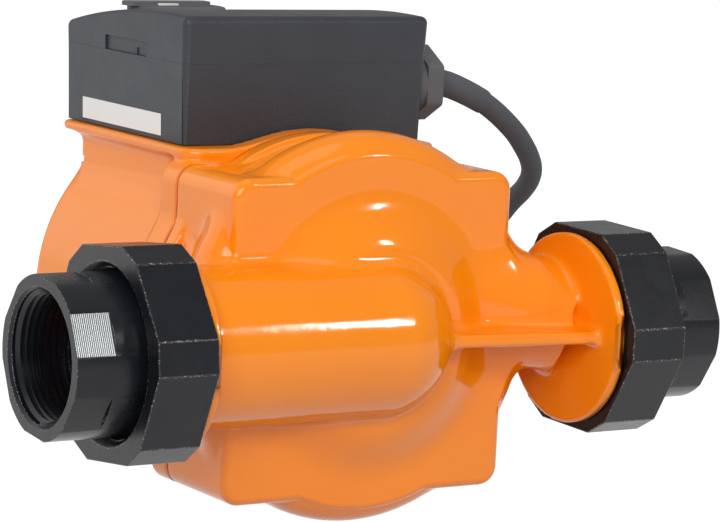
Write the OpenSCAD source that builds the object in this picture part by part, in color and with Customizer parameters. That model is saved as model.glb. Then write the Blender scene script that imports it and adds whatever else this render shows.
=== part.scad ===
// Wet-rotor heating circulator with union connections: the pipe runs along X, the motor
// shaft along Y with the pump casing in front, and Z is up. All lengths are in millimetres.

/* [Casing] */
// Length from one port face to the other
port_span_len = 180; // [170:1:200]
// Width and height of the square casing block
block_w = 105.4; // [100:0.2:110]
// Corner radius of the casing block
block_corner_r = 6.5; // [5:0.5:9]
// Distance of the block's front face behind the pipe axis
block_front = 2; // [1:0.5:3]
// Distance of the joint face behind the pipe axis
joint_y = 40; // [39.5:0.1:41]
// Outer radius of the volute ring
volute_r = 64.4; // [63.5:0.1:66]
// Radius of the rounded edge of the volute ring
volute_edge_r = 11; // [8:0.5:12]
// Height of the volute ring's centre above the pipe axis
volute_rise = 1.7; // [0:0.1:2]
// Outer radius of the round rim at the joint face
rim_r = 62.8; // [61:0.1:63]
// Outer radius of the suction channel's half-round ridge
channel_r = 25.5; // [24:0.5:27]
// Radius of the raised dome behind the suction channel
dome_r = 41; // [38:0.5:44]
// Height of the dome above the block's front face
dome_h = 7; // [4:0.5:9]
// Radius of the outlet neck at the casing
neck_root_r = 20; // [19:0.5:21]
// Radius of the outlet neck at the port collar
neck_tip_r = 18.5; // [17.5:0.5:19]
// Thickness of the stiffening web at the outlet
web_t = 4.2; // [3:0.2:6]

/* [Ports and unions] */
// Radius of the port collar
collar_r = 31.9; // [31.2:0.1:33]
// Thickness of the port collar
collar_t = 3.5; // [3:0.5:5]
// Outer radius of the port's union thread
port_thread_r = 29.75; // [29.5:0.05:30]
// Length of the port's union thread beyond the collar
port_thread_len = 12.8; // [11:0.2:14]
// Radius of the waterway through each port
port_bore_r = 16; // [14:0.5:17]
// Radius of the union nut across its corners
nut_r = 36.1; // [35.5:0.1:38]
// Length of the union nut
nut_len = 20.8; // [20:0.1:23]
// Angle that each truncated corner facet of the nut takes up
nut_corner_angle = 17; // [10:1:24]
// Turn of the left union nut
left_nut_turn = 6.6; // [-30:0.1:30]
// Turn of the right union nut
right_nut_turn = -1.2; // [-30:0.1:30]
// Outer radius of the union insert
insert_r = 25.7; // [25:0.1:26.2]
// Length of the insert in front of the nut
insert_reach = 22.1; // [20:0.1:30]
// Radius of the insert's pipe thread at its root
insert_thread_r = 20.955; // [20:0.005:21.5]
// Length of the insert's pipe thread with its chamfer
insert_thread_len = 19; // [16:0.5:21]
// Distance across the insert's wrench flats
insert_flats_af = 49.6; // [48:0.1:50]
// Length of the wrench flats
insert_flats_len = 13; // [8:0.5:15]
// Turn of the left insert's flats
left_insert_turn = -25; // [-30:1:30]
// Turn of the right insert's flats
right_insert_turn = -27; // [-30:1:30]

/* [Motor] */
// Thickness of the motor's mounting flange
flange_t = 11; // [9:0.5:12]
// Radius of the motor barrel at the flange
barrel_front_r = 62; // [61.5:0.1:62.5]
// Radius of the motor barrel at its back edge
barrel_back_r = 60.3; // [60:0.1:61]
// Distance of the barrel's back edge behind the pipe axis
barrel_back_y = 123; // [121:0.5:125]
// Depth of the rounded back cap
cap_depth = 5; // [4:0.5:6]
// Wall of the motor barrel around the stator
barrel_wall = 6; // [5:0.5:7]
// Distance of the four casing screws from the shaft axis, along X
screw_x = 41; // [40.6:0.1:41.2]
// Distance of the four casing screws from the shaft axis, along Z
screw_z = 45; // [44.6:0.2:46]
// Radius of the motor shaft
shaft_r = 5; // [4:0.1:6]
// Water gap between the rotor and its can
rotor_gap = 0.7; // [0.5:0.1:1.2]
// Wall of the rotor can
can_wall = 0.6; // [0.4:0.1:0.8]
// Length of the rotor and stator stack
stack_len = 50; // [40:1:51]
// Radius of the vent screw's head
vent_head_r = 12; // [10:0.5:14]

/* [Impeller] */
// Outer radius of the impeller
impeller_r = 44; // [40:0.5:45]
// Width of the water channel between the impeller's shrouds
impeller_gap = 7; // [5:0.5:7.5]
// Number of impeller vanes
vane_count = 6; // [5:1:8]
// Thickness of an impeller vane
vane_t = 2; // [1.5:0.1:2.5]
// Radius of the arc that a vane follows
vane_arc_r = 34; // [30:1:40]

/* [Terminal box] */
// Width of the terminal box
box_w = 94; // [90:0.2:98]
// Depth of the terminal box
box_depth = 86.5; // [84:0.5:90]
// Height of the box's base tray
tray_h = 26.4; // [25:0.2:28]
// Height of the lid at the front
lid_front_h = 15.5; // [14:0.5:18]
// Height of the lid at the back
lid_back_h = 7.3; // [6:0.1:9]
// Wall of the terminal box
box_wall = 2.4; // [2:0.1:3]
// Corner radius of the terminal box
box_corner_r = 2.6; // [2:0.1:6]
// Radius of the lid's crowned top, seen from the side
lid_crown_r = 315; // [290:5:400]
// Radius of the speed dial
dial_r = 17; // [15:0.5:18]
// Length of the dial's grip bar
grip_len = 27; // [22:0.5:30]

/* [Lead] */
// Diameter of the mains lead
lead_d = 7.8; // [7.4:0.1:8.2]
// Radius of the cable gland
gland_r = 11.5; // [10.5:0.1:12]
// Reach of the cable gland from the box's side
gland_reach = 12.3; // [12:0.1:14]
// Radius of the coil's outermost turn at the middle of the lead
coil_r = 52; // [50:0.5:54]
// Number of turns in the coil
coil_turns = 4.375; // [4.375:1:5.375]
// Radius of the plug's body
plug_r = 18.4; // [17.5:0.1:19]

/* [Hidden] */
$fn = 96;

// Overrun of every cut past the face it starts from
cut_over = 0.5;
// Radial clearance of a seated or running fit
fit_gap = 0.05;
// Free gap between two parts that don't touch
free_gap = 0.3;
// Facets of a shape that gets hulled
soft_fn = 32;
// Facets of the lid's crown as a whole cylinder
crown_fn = 384;

// Casing: edge rounding and inner cuts
block_edge_r = 3.5;
land_r = volute_r - volute_edge_r / 2;
land_depth = 24;
rim_t = 6;
eye_r = 15;
channel_bore_r = 15.5;
channel_end_x = 1;
channel_wall = 4;
chamber_y = channel_bore_r + channel_wall;
chamber_r = impeller_r + 2.5 * vane_t;
spiral_growth = 8;
spiral_tongue_angle = -14;
spiral_steps = 40;
spigot_r = 50.4;
neck_near_x = 36;
neck_near_y = 24.6;
neck_near_z = 12;
neck_far_y = 5.8;
neck_far_z = 1.9;
neck_bore_r = 12.5;
web_inner_y = 14;
web_outer_y = 22.5;
gusset_h = 12;
gusset_reach = 5;
port_half = port_span_len / 2;
collar_out = port_half - port_thread_len;
collar_in = collar_out - collar_t;

// Union parts, measured along the pipe
gasket_t = 1.5;
gasket_inner_r = 19;
insert_collar_t = 3.4;
insert_collar_r = 28.6;
insert_bore_r = 18;
insert_root_r = 26.6;
insert_root_len = 2.5;
insert_chamfer = 1;
nut_start = collar_out + free_gap;
nut_end = nut_start + nut_len;
insert_end = nut_end + insert_reach;
insert_start = port_half + gasket_t;
nut_lip_start = insert_start + insert_collar_t + fit_gap;
nut_hole_r = 27.2;
nut_chamfer = 1.6;

// Motor parts, measured back along the shaft
gasket_y_t = 0.8;
motor_front = joint_y + gasket_y_t;
flange_back = motor_front + flange_t;
flange_top_t = 7.1;
flange_top_back = motor_front + flange_top_t;
stator_r = barrel_back_r - barrel_wall;
can_share = 0.4825;
can_r = can_share * stator_r;
rotor_r = can_r - rotor_gap;
spigot_depth = 4;
plate_front = joint_y - spigot_depth;
plate_t = 1.8;
plate_hub_r = 10.5;
bearing_r = 8;
front_bearing_y = 33.4;
front_bearing_len = 13;
can_flange_y = plate_front + plate_t;
can_flange_t = 0.8;
o_ring_r = 1.5;
o_ring_y = can_flange_y + can_flange_t + o_ring_r;
o_ring_mid_r = spigot_r - free_gap - o_ring_r;
o_ring_seat_r = o_ring_mid_r + o_ring_r + fit_gap;
stack_y = 53;
can_end_y = 118;
can_end_t = 2;
can_neck_r = 11.5;
can_neck_bore_r = 8.5;
can_neck_end = 127;
rear_cup_r = 10.4;
rear_bearing_len = 12;
rear_bearing_y = can_end_y - can_end_t - rear_bearing_len;
shaft_front = 22;
shaft_len = rear_bearing_y + rear_bearing_len - shaft_front - 1.5 * vane_t;
thrust_t = 2.4;
thrust_y = front_bearing_y + front_bearing_len + free_gap;
cap_y = barrel_back_y + cap_depth;
tooth_tip_depth = 4.2;
yoke_t = 11.3;
bar_inner_r = can_r + can_wall + tooth_tip_depth;
bar_outer_r = stator_r - yoke_t;
bar_w = 5.4;
slot_mouth_w = 2.4;
slot_gap = 0.3;
stator_bore_r = can_r + can_wall + free_gap;
slot_count = 12;
winding_end_len = 11;
bore_relief_y = 42.5;
screw_r = 2.5;
screw_head_r = 4;
screw_head_h = 5;
screw_socket_r = 2.3;
screw_socket_depth = 3.2;
screw_thread_len = 14;
pocket_r = screw_head_r + free_gap;
pocket_depth = 9;
platform_drop = 2.9;
platform_z = barrel_back_r - platform_drop;
platform_margin = 2;
platform_corner_r = 8;
platform_w = box_w + 2 * platform_margin;
platform_t = 3;
platform_front = joint_y + gasket_y_t;
pedestal_w = 92;
pedestal_front = 54;
pedestal_back = 124;
pedestal_root = 34;
pedestal_corner_r = 4;
vent_head_t = 3.2;
vent_slot_w = 2.2;
vent_slot_depth = 1.8;
vent_shank_len = 7;
vent_seal_t = 0.9;
vent_seal_r = 10.6;

// Impeller, measured back along the shaft
shroud_t = 1.5;
impeller_front = chamber_y + 2;
back_shroud_y = impeller_front + shroud_t + impeller_gap;
impeller_hub_r = 9;
impeller_hub_len = 11;
impeller_eye_r = 15;
impeller_neck_r = 17.2;
impeller_neck_len = 5.5;
ring_r = 20.6;
ring_len = 4.6;
vane_root_r = 13;

// Terminal box
box_z = platform_z + free_gap;
box_front = flange_top_back + free_gap;
floor_t = 3;
box_back = box_front + box_depth;
split_z = box_z + tray_h;
lid_front_z = split_z + lid_front_h;
lid_back_z = split_z + lid_back_h;
roof_t = 2.4;
clip_place_share = 0.32;
clip_len_share = 0.335;
clip_front = box_front + clip_place_share * box_depth;
clip_w = clip_len_share * box_depth;
clip_h = 4.4;
clip_depth = 0.8;
lip_t = 1.2;
lip_h = 3;
dial_x = -12.5;
dial_back = 16.7;
dial_y = box_back - dial_back;
dial_base_h = 10.9;
dial_base_z = split_z + dial_base_h;
dial_base_t = 4.4;
dial_rim = 1.5;
dial_base_r = dial_r + dial_rim;
dial_t = 2.4;
grip_w = 6.5;
grip_h = 2.6;
spindle_r = 3;
spindle_len = 17;
switch_w = 26;
switch_bore_depth = 5.5;
capacitor_r = 11.5;
capacitor_len_share = 0.56;
capacitor_len = capacitor_len_share * box_w;
capacitor_side = 7.8;
capacitor_x = box_wall + capacitor_side - box_w / 2;
capacitor_place_share = 0.23;
capacitor_y = box_front + capacitor_place_share * box_depth;
terminal_len_share = 0.43;
terminal_w = terminal_len_share * box_w;
terminal_depth = 14;
terminal_h = 15;
terminal_side = 2;
terminal_x = box_w / 2 - box_wall - terminal_side - terminal_w / 2;
terminal_place_share = 0.575;
terminal_y = box_front + terminal_place_share * box_depth;
terminal_poles = 4;
earth_x = 16;
tray_screw_place_share = 0.455;
tray_screw_y = box_front + tray_screw_place_share * box_depth;
earth_r = 4.2;
earth_h = 2.6;
tray_screw_side = 12.2;
tray_screw_x = box_w / 2 - tray_screw_side;
tray_screw_head_r = 3.8;
tray_screw_head_h = 2.4;
tray_screw_shank_r = 1.9;
tray_screw_shank_len = 9;
label_place_share = 0.194;
label_len_share = 0.647;
label_y = box_front + label_place_share * box_depth;
label_w = label_len_share * box_depth;
label_rise = 1.5;
label_z = box_z + label_rise;
label_h = 7.2;
label_t = 0.25;

// Cable gland and lead
lead_back = 15.8;
lead_y = box_front + lead_back;
lead_rise = 18.3;
lead_z = box_z + lead_rise;
gland_hole_r = 7;
gland_flange_t = 3;
gland_thread_len = 5;
gland_grip_flats = 24;
gland_tip_r = 6.4;
gland_dome_len = 3;
seal_gap = 0.1;
relief_root_r = 4.9;
relief_tip_r = 4.3;
box_side = box_w / 2;

// Frame: the origin is the middle of the object's footprint on the surface that it stands on,
// taken without the lead
nut_front = nut_r * max([for (turn = [left_nut_turn, right_nut_turn], k = [-3:3], s = [-1, 1])
    cos(60 * k + s * nut_corner_angle / 2 + turn)]);
mid_y = (box_back - nut_front) / 2;
stand_z = max(volute_r - volute_rise, rim_r, barrel_front_r);

// First and last point of the route that the strain relief covers
relief_first = 3;
relief_last = 8;
coil_x = 74;
coil_y = 214;
tie_t = 0.8;
lead_r = lead_d / 2;
coil_gap = 0.5;
coil_pitch = lead_d + coil_gap;
coil_rings = 24;
coil_sides = 6;
lead_sides = 10;
coil_floor = tie_t + lead_r - stand_z;
coil_angle = 360 * coil_turns;
coil_mid_angle = coil_angle / 2;
plug_rise = plug_r - tie_t - lead_r - coil_pitch;
plug_rise_angle = 60;
tie_angle = 200;
tie_w = 9;
plug_len = 36;
boot_len = 20;
boot_root_r = 7.5;
boot_tip_r = 5.2;
pin_r = 2.4;
pin_len = 19;
pin_spacing = 19;
plug_face_r = 16;
plug_taper_len = 12;

// Everything is drawn about the crossing of the pipe and the shaft, then set in the frame
module in_frame() translate([0, -mid_y, stand_z]) children();

// Turns a shape that is drawn along Z so that it runs back along the shaft
module along_shaft(y = 0) translate([0, y, 0]) rotate([-90, 0, 0]) children();

// Turns a shape that is drawn along Z so that it runs out along the pipe
module along_pipe(x = 0) translate([x, 0, 0]) rotate([0, 90, 0]) children();

module on_side(side) if (side < 0) mirror([1, 0, 0]) children(); else children();

module tube(outer_r, inner_r, h) difference() {
    cylinder(r = outer_r, h = h);
    translate([0, 0, -cut_over]) cylinder(r = inner_r, h = h + 2 * cut_over);
}

module rounded_square(w, h, r) {
    square([w - 2 * r, h], center = true);
    square([w, h - 2 * r], center = true);
    for (x = [-1, 1], y = [-1, 1]) translate([x * (w / 2 - r), y * (h / 2 - r)]) circle(r = r);
}

// Casing
module casing_block() {
    corner = block_w / 2 - block_corner_r;
    along_shaft(block_front) hull() for (x = [-1, 1], z = [-1, 1]) translate([x * corner, z * corner, 0])
        rotate_extrude($fn = soft_fn) {
            translate([0, block_edge_r]) square([block_corner_r, joint_y - block_front - block_edge_r]);
            square([block_corner_r - block_edge_r, block_edge_r]);
            intersection() {
                translate([block_corner_r - block_edge_r, block_edge_r]) circle(r = block_edge_r);
                square([block_corner_r, block_edge_r]);
            }
        }
}

module volute_ring() along_shaft(block_front) translate([0, -volute_rise, 0]) rotate_extrude() {
    square([volute_r - volute_edge_r, 2 * volute_edge_r]);
    translate([volute_r - volute_edge_r, volute_edge_r]) circle(r = volute_edge_r);
    square([land_r, land_depth + volute_edge_r]);
}

module suction_ridge() {
    along_pipe(-collar_out) cylinder(r = channel_r, h = collar_out - channel_end_x);
    translate([-channel_end_x, 0, 0]) sphere(r = channel_r);
    along_shaft(block_front - dome_h) cylinder(r1 = dome_r - dome_h, r2 = dome_r, h = dome_h + cut_over);
}

// The neck leaves the volute behind and above the pipe axis and slants out to the port
module along_neck() {
    run = [collar_out - neck_near_x, neck_far_y - neck_near_y, neck_far_z - neck_near_z];
    translate([neck_near_x, neck_near_y, neck_near_z])
        rotate([0, acos(run.z / norm(run)), atan2(run.y, run.x)]) children();
}

neck_len = norm([collar_out - neck_near_x, neck_far_y - neck_near_y, neck_far_z - neck_near_z]);

module outlet_neck() {
    along_neck() cylinder(r1 = neck_root_r, r2 = neck_tip_r, h = neck_len);
    web_front = channel_end_x + channel_r - 2 * gusset_reach;
    translate([0, 0, -web_t / 2]) linear_extrude(web_t) polygon([
        [web_front, block_front + web_t], [web_front, -web_inner_y],
        [collar_in + collar_t / 2, -web_outer_y], [collar_in + collar_t / 2, block_front + web_t]]);
    translate([web_front, 0, 0]) rotate([90, 0, 90]) linear_extrude(gusset_reach + web_t) polygon([
        [block_front + web_t, 0], [-web_inner_y + web_t, 0], [block_front + web_t, -gusset_h]]);
}

module port(side) on_side(side) along_pipe(collar_in) {
    cylinder(r = collar_r, h = collar_t);
    cylinder(r = port_thread_r, h = collar_t + port_thread_len);
}

// Spiral outline of the impeller chamber, which widens clockwise from the tongue to the outlet
module spiral_outline() polygon([for (i = [0:spiral_steps - 1])
    let (share = i / spiral_steps, a = spiral_tongue_angle + 360 * share,
        r = chamber_r + spiral_growth * share) [r * cos(a), r * sin(a)]]);

module waterways() {
    along_pipe(-port_half - cut_over)
        cylinder(r = port_bore_r, h = port_thread_len + cut_over);
    along_pipe(-port_half) cylinder(r = channel_bore_r, h = port_half - channel_end_x);
    translate([-channel_end_x, 0, 0]) sphere(r = channel_bore_r);
    along_shaft() cylinder(r = eye_r, h = chamber_y);
    along_shaft(chamber_y - ring_len) cylinder(r = ring_r + fit_gap, h = ring_len + cut_over);
    along_shaft(chamber_y) linear_extrude(plate_front - chamber_y + cut_over) spiral_outline();
    along_shaft(plate_front) cylinder(r = spigot_r, h = spigot_depth + cut_over);
    along_neck() cylinder(r = neck_bore_r, h = neck_len);
    along_pipe(collar_out - collar_t / 2) cylinder(r = port_bore_r, h = port_thread_len + 2 * collar_t);
}

module pump_casing() color("darkorange") in_frame() difference() {
    union() {
        casing_block();
        volute_ring();
        along_shaft(joint_y - rim_t) cylinder(r = rim_r, h = rim_t);
        suction_ridge();
        outlet_neck();
        port(-1);
        port(1);
    }
    waterways();
    along_shaft(joint_y) cylinder(r = block_w, h = neck_root_r);
    casing_screw_places() along_shaft(joint_y - screw_thread_len)
        cylinder(r = screw_r + fit_gap, h = screw_thread_len + cut_over);
}

module casing_screw_places() for (x = [-1, 1], z = [-1, 1])
    translate([x * screw_x, 0, z * screw_z]) children();

module wear_ring() color("silver") in_frame() along_shaft(chamber_y - ring_len)
    tube(ring_r, impeller_neck_r + free_gap, ring_len);

// Rotating parts
module vane_outline() difference() {
    intersection() {
        translate([vane_arc_r, 0]) difference() {
            circle(r = vane_arc_r + vane_t / 2);
            circle(r = vane_arc_r - vane_t / 2);
        }
        circle(r = impeller_r - vane_t / 4);
        translate([0, -impeller_r]) square([impeller_r, impeller_r]);
    }
    circle(r = vane_root_r);
}

module impeller() color("ivory") in_frame() difference() {
    union() {
        along_shaft(impeller_front) cylinder(r = impeller_r, h = shroud_t);
        along_shaft(impeller_front - impeller_neck_len)
            cylinder(r = impeller_neck_r, h = impeller_neck_len + shroud_t);
        along_shaft(impeller_front) linear_extrude(back_shroud_y - impeller_front + shroud_t / 2)
            for (k = [0:vane_count - 1]) rotate(360 * k / vane_count) vane_outline();
        along_shaft(back_shroud_y) cylinder(r = impeller_r, h = shroud_t);
        along_shaft(shaft_front) cylinder(r = impeller_hub_r, h = impeller_hub_len);
    }
    difference() {
        along_shaft(impeller_front - impeller_neck_len - cut_over)
            cylinder(r = impeller_eye_r, h = impeller_neck_len + shroud_t + cut_over);
        along_shaft(shaft_front) cylinder(r = impeller_hub_r, h = impeller_hub_len);
    }
    along_shaft(shaft_front - cut_over) cylinder(r = shaft_r + fit_gap, h = impeller_hub_len + 2 * cut_over);
}

module motor_shaft() color("gainsboro") in_frame() along_shaft(shaft_front)
    cylinder(r = shaft_r, h = shaft_len);

module rotor_core() color("slategray") in_frame() along_shaft(stack_y)
    tube(rotor_r, shaft_r + fit_gap, stack_len);

module thrust_ring() color("dimgray") in_frame() along_shaft(thrust_y)
    tube(bearing_r + fit_gap, shaft_r + fit_gap, thrust_t);

module front_bearing() color("dimgray") in_frame() along_shaft(front_bearing_y)
    tube(bearing_r, shaft_r + fit_gap, front_bearing_len);

module rear_bearing() color("dimgray") in_frame() along_shaft(rear_bearing_y)
    tube(bearing_r, shaft_r + fit_gap, rear_bearing_len);

// Motor shell, can and stator
module bearing_plate() color("silver") in_frame() difference() {
    union() {
        along_shaft(plate_front) cylinder(r = spigot_r - fit_gap, h = plate_t);
        along_shaft(front_bearing_y) cylinder(r = plate_hub_r, h = front_bearing_len);
    }
    along_shaft(front_bearing_y - cut_over)
        cylinder(r = bearing_r + fit_gap, h = front_bearing_len + 2 * cut_over);
}

module rotor_can() color("silver") in_frame() {
    along_shaft(can_flange_y) tube(spigot_r - fit_gap, can_r, can_flange_t);
    along_shaft(can_flange_y) tube(can_r + can_wall, can_r, can_end_y - can_flange_y);
    along_shaft(can_end_y - can_end_t) tube(can_r + can_wall, can_neck_bore_r, can_end_t);
    along_shaft(rear_bearing_y) tube(rear_cup_r, bearing_r + fit_gap, can_end_y - rear_bearing_y);
    along_shaft(can_end_y - can_end_t)
        tube(can_neck_r, can_neck_bore_r, can_neck_end - can_end_y + can_end_t);
}

module can_o_ring() color("black") in_frame() along_shaft(o_ring_y) rotate_extrude()
    translate([o_ring_mid_r, 0]) circle(r = o_ring_r - fit_gap, $fn = soft_fn);

module flange_outline() {
    rounded_square(block_w, block_w, block_corner_r);
    circle(r = rim_r);
}

module casing_gasket() color("dimgray") in_frame() difference() {
    along_shaft(joint_y) linear_extrude(gasket_y_t) difference() {
        flange_outline();
        circle(r = spigot_r);
    }
    casing_screw_places() along_shaft(joint_y - cut_over)
        cylinder(r = screw_r + free_gap, h = gasket_y_t + 2 * cut_over);
}

module motor_barrel() {
    along_shaft(flange_back)
        cylinder(r1 = barrel_front_r, r2 = barrel_back_r, h = barrel_back_y - flange_back);
    along_shaft(barrel_back_y) rotate_extrude() {
        square([barrel_back_r - cap_depth, cap_depth]);
        intersection() {
            translate([barrel_back_r - cap_depth, 0]) circle(r = cap_depth);
            square([barrel_back_r, cap_depth]);
        }
    }
}

// Pedestal and platform that carry the terminal box
module box_platform() {
    translate([0, (pedestal_front + pedestal_back) / 2, pedestal_root])
        linear_extrude(platform_z - pedestal_root)
            rounded_square(pedestal_w, pedestal_back - pedestal_front, pedestal_corner_r);
    translate([0, (platform_front + box_back) / 2, platform_z - platform_t])
        linear_extrude(platform_t) rounded_square(platform_w, box_back - platform_front, platform_corner_r);
}

module motor_housing() color("darkorange") in_frame() difference() {
    union() {
        along_shaft(motor_front) linear_extrude(flange_t) flange_outline();
        motor_barrel();
        box_platform();
    }
    translate([-platform_w / 2, flange_top_back, platform_z])
        cube([platform_w, box_back - flange_top_back + cut_over, rim_r]);
    along_shaft(motor_front - cut_over)
        cylinder(r = o_ring_seat_r, h = bore_relief_y - motor_front + cut_over);
    along_shaft(bore_relief_y - cut_over)
        cylinder(r = stator_r + fit_gap, h = can_end_y + free_gap - bore_relief_y + cut_over);
    along_shaft(can_end_y) cylinder(r = can_neck_r + fit_gap, h = cap_y - can_end_y + cut_over);
    casing_screw_places() {
        along_shaft(motor_front - cut_over) cylinder(r = screw_r + free_gap, h = flange_t + 2 * cut_over);
        along_shaft(flange_back) cylinder(r = pocket_r, h = pocket_depth);
    }
    for (x = [-1, 1]) translate([x * screw_x, 0, screw_z]) along_shaft(flange_back)
        cylinder(r = pocket_r, h = cap_y - flange_back + cut_over);
    translate([0, 0, platform_z - tray_screw_shank_len]) tray_screw_places()
        cylinder(r = tray_screw_shank_r + fit_gap, h = tray_screw_shank_len + cut_over);
}

module stator_slots(gap, height) {
    for (i = [0:slot_count - 1]) rotate(360 * i / slot_count) {
        translate([bar_inner_r - gap, -bar_w / 2 - gap])
            square([bar_outer_r - bar_inner_r + 2 * gap, bar_w + 2 * gap]);
        children();
    }
}

module stator_core() color("slategray") in_frame() along_shaft(stack_y) linear_extrude(stack_len)
    difference() {
        circle(r = stator_r);
        circle(r = stator_bore_r);
        stator_slots(slot_gap) translate([0, -slot_mouth_w / 2]) square([bar_inner_r, slot_mouth_w]);
    }

module stator_windings() color("peru") in_frame() {
    along_shaft(stack_y - free_gap) linear_extrude(stack_len + 2 * free_gap) stator_slots(0);
    for (y = [stack_y - free_gap - winding_end_len, stack_y + stack_len + free_gap]) along_shaft(y)
        tube(bar_outer_r, bar_inner_r, winding_end_len);
}

module casing_screws() color("black") in_frame() casing_screw_places() difference() {
    union() {
        along_shaft(joint_y - screw_thread_len + free_gap)
            cylinder(r = screw_r, h = flange_back - joint_y + screw_thread_len);
        along_shaft(flange_back) cylinder(r = screw_head_r, h = screw_head_h);
    }
    along_shaft(flange_back + screw_head_h - screw_socket_depth)
        cylinder(r = screw_socket_r, h = screw_socket_depth + cut_over, $fn = 6);
}

module vent_screw() color("silver") in_frame() difference() {
    union() {
        along_shaft(cap_y + vent_seal_t) cylinder(r = vent_head_r, h = vent_head_t);
        along_shaft(cap_y - vent_shank_len)
            cylinder(r = can_neck_bore_r - fit_gap, h = vent_shank_len + vent_head_t);
    }
    slot_y = cap_y + vent_seal_t + vent_head_t - vent_slot_depth;
    translate([-vent_head_r - cut_over, slot_y, -vent_slot_w / 2])
        cube([2 * (vent_head_r + cut_over), vent_slot_depth + cut_over, vent_slot_w]);
}

module vent_seal() color("black") in_frame() along_shaft(cap_y)
    tube(vent_seal_r, can_neck_bore_r, vent_seal_t);

// Terminal box
module box_outline(inset = 0) translate([0, (box_front + box_back) / 2])
    rounded_square(box_w - 2 * inset, box_depth - 2 * inset, max(box_corner_r - inset, free_gap));

module tray_screw_places() for (x = [-1, 1]) translate([x * tray_screw_x, tray_screw_y, 0]) children();

module box_tray() color("dimgray") in_frame() difference() {
    union() {
        translate([0, 0, box_z]) linear_extrude(tray_h) box_outline();
        translate([0, 0, box_z]) linear_extrude(tray_h + lip_h) box_outline(box_wall - lip_t);
    }
    translate([0, 0, box_z + floor_t]) linear_extrude(tray_h + lip_h) box_outline(box_wall);
    translate([box_side - 2 * box_wall, lead_y, lead_z]) rotate([0, 90, 0])
        cylinder(r = gland_hole_r + fit_gap, h = 3 * box_wall);
    translate([0, 0, box_z - cut_over]) tray_screw_places()
        cylinder(r = tray_screw_shank_r + fit_gap, h = floor_t + 2 * cut_over);
}

// The lid's top is part of a large cylinder that meets the lid's front and back heights
module lid_shape(inset, bottom) intersection() {
    chord = [box_depth, lid_back_z - lid_front_z];
    drop = sqrt(lid_crown_r ^ 2 - (norm(chord) / 2) ^ 2);
    middle = [box_front + box_depth / 2, (lid_front_z + lid_back_z) / 2];
    centre = middle - drop * [-chord.y, chord.x] / norm(chord);
    translate([0, 0, split_z + bottom]) linear_extrude(lid_front_h + roof_t) box_outline(inset);
    translate([-box_w, centre.x, centre.y]) rotate([0, 90, 0])
        cylinder(r = lid_crown_r - min(inset, roof_t), h = 2 * box_w, $fn = crown_fn);
}

module dial_seat(h) translate([dial_x, dial_y, dial_base_z - dial_base_t]) cylinder(r = dial_base_r, h = h);

module box_lid() color("dimgray") in_frame() difference() {
    union() {
        difference() {
            lid_shape(0, 0);
            dial_seat(3 * dial_base_t);
        }
        intersection() {
            dial_seat(dial_base_t);
            translate([0, 0, split_z]) linear_extrude(2 * lid_front_h) box_outline();
        }
    }
    difference() {
        lid_shape(box_wall, -cut_over);
        dial_seat(dial_base_t);
    }
    translate([0, 0, split_z - cut_over]) linear_extrude(lip_h + cut_over + free_gap)
        box_outline(box_wall - lip_t - fit_gap);
    for (x = [-1, 1]) translate([x * box_side, clip_front + clip_w / 2, split_z + clip_h / 2])
        cube([2 * clip_depth, clip_w, clip_h + 2 * cut_over], center = true);
    translate([dial_x, dial_y, dial_base_z - 2 * dial_base_t])
        cylinder(r = spindle_r + fit_gap, h = 3 * dial_base_t);
}

module box_screws() color("silver") in_frame() tray_screw_places() {
    translate([0, 0, box_z + floor_t]) cylinder(r = tray_screw_head_r, h = tray_screw_head_h);
    translate([0, 0, platform_z - tray_screw_shank_len + free_gap])
        cylinder(r = tray_screw_shank_r, h = box_z + floor_t - platform_z + tray_screw_shank_len);
}

module side_label() color("white") in_frame() translate([-box_side - label_t, label_y, label_z])
    cube([label_t, label_w, label_h]);

module speed_dial() color("dimgray") in_frame() translate([dial_x, dial_y, dial_base_z + free_gap]) {
    cylinder(r = dial_r, h = dial_t);
    translate([0, 0, dial_t - cut_over]) linear_extrude(grip_h + cut_over)
        rounded_square(grip_len, grip_w, grip_w / 3);
    translate([0, 0, -spindle_len]) cylinder(r = spindle_r, h = spindle_len + cut_over);
}

module speed_switch() color("ivory") in_frame() {
    top = dial_base_z + free_gap - spindle_len + switch_bore_depth;
    translate([dial_x, dial_y - switch_w / 4, 0]) difference() {
        translate([-switch_w / 2, -switch_w / 2, box_z + floor_t])
            cube([switch_w, 3 * switch_w / 4, top - box_z - floor_t]);
        translate([0, switch_w / 4, top - switch_bore_depth - free_gap])
            cylinder(r = spindle_r + fit_gap, h = switch_bore_depth + cut_over);
    }
}

module capacitor() color("ivory") in_frame()
    translate([capacitor_x, capacitor_y, box_z + floor_t + capacitor_r + fit_gap]) rotate([0, 90, 0]) {
        cylinder(r = capacitor_r, h = capacitor_len);
        translate([0, 0, -slot_mouth_w]) cylinder(r = capacitor_r / 2, h = capacitor_len);
    }

module terminal_block() color("white") in_frame()
    translate([terminal_x - terminal_w / 2, terminal_y, box_z + floor_t]) difference() {
        cube([terminal_w, terminal_depth, terminal_h]);
        for (i = [0:terminal_poles - 1])
            translate([terminal_w * (i + 1 / 2) / terminal_poles, terminal_depth / 2, terminal_h / 2])
                cylinder(r = screw_r, h = terminal_h);
    }

module earth_screw() color("gold") in_frame()
    translate([earth_x, tray_screw_y, box_z + floor_t]) difference() {
    cylinder(r = earth_r, h = earth_h);
    translate([-earth_r, -vent_slot_w / 4, earth_h / 2]) cube([2 * earth_r, vent_slot_w / 2, earth_h]);
}

// Cable gland and lead
module along_lead(x) translate([x, lead_y, lead_z]) rotate([0, 90, 0]) children();

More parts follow.
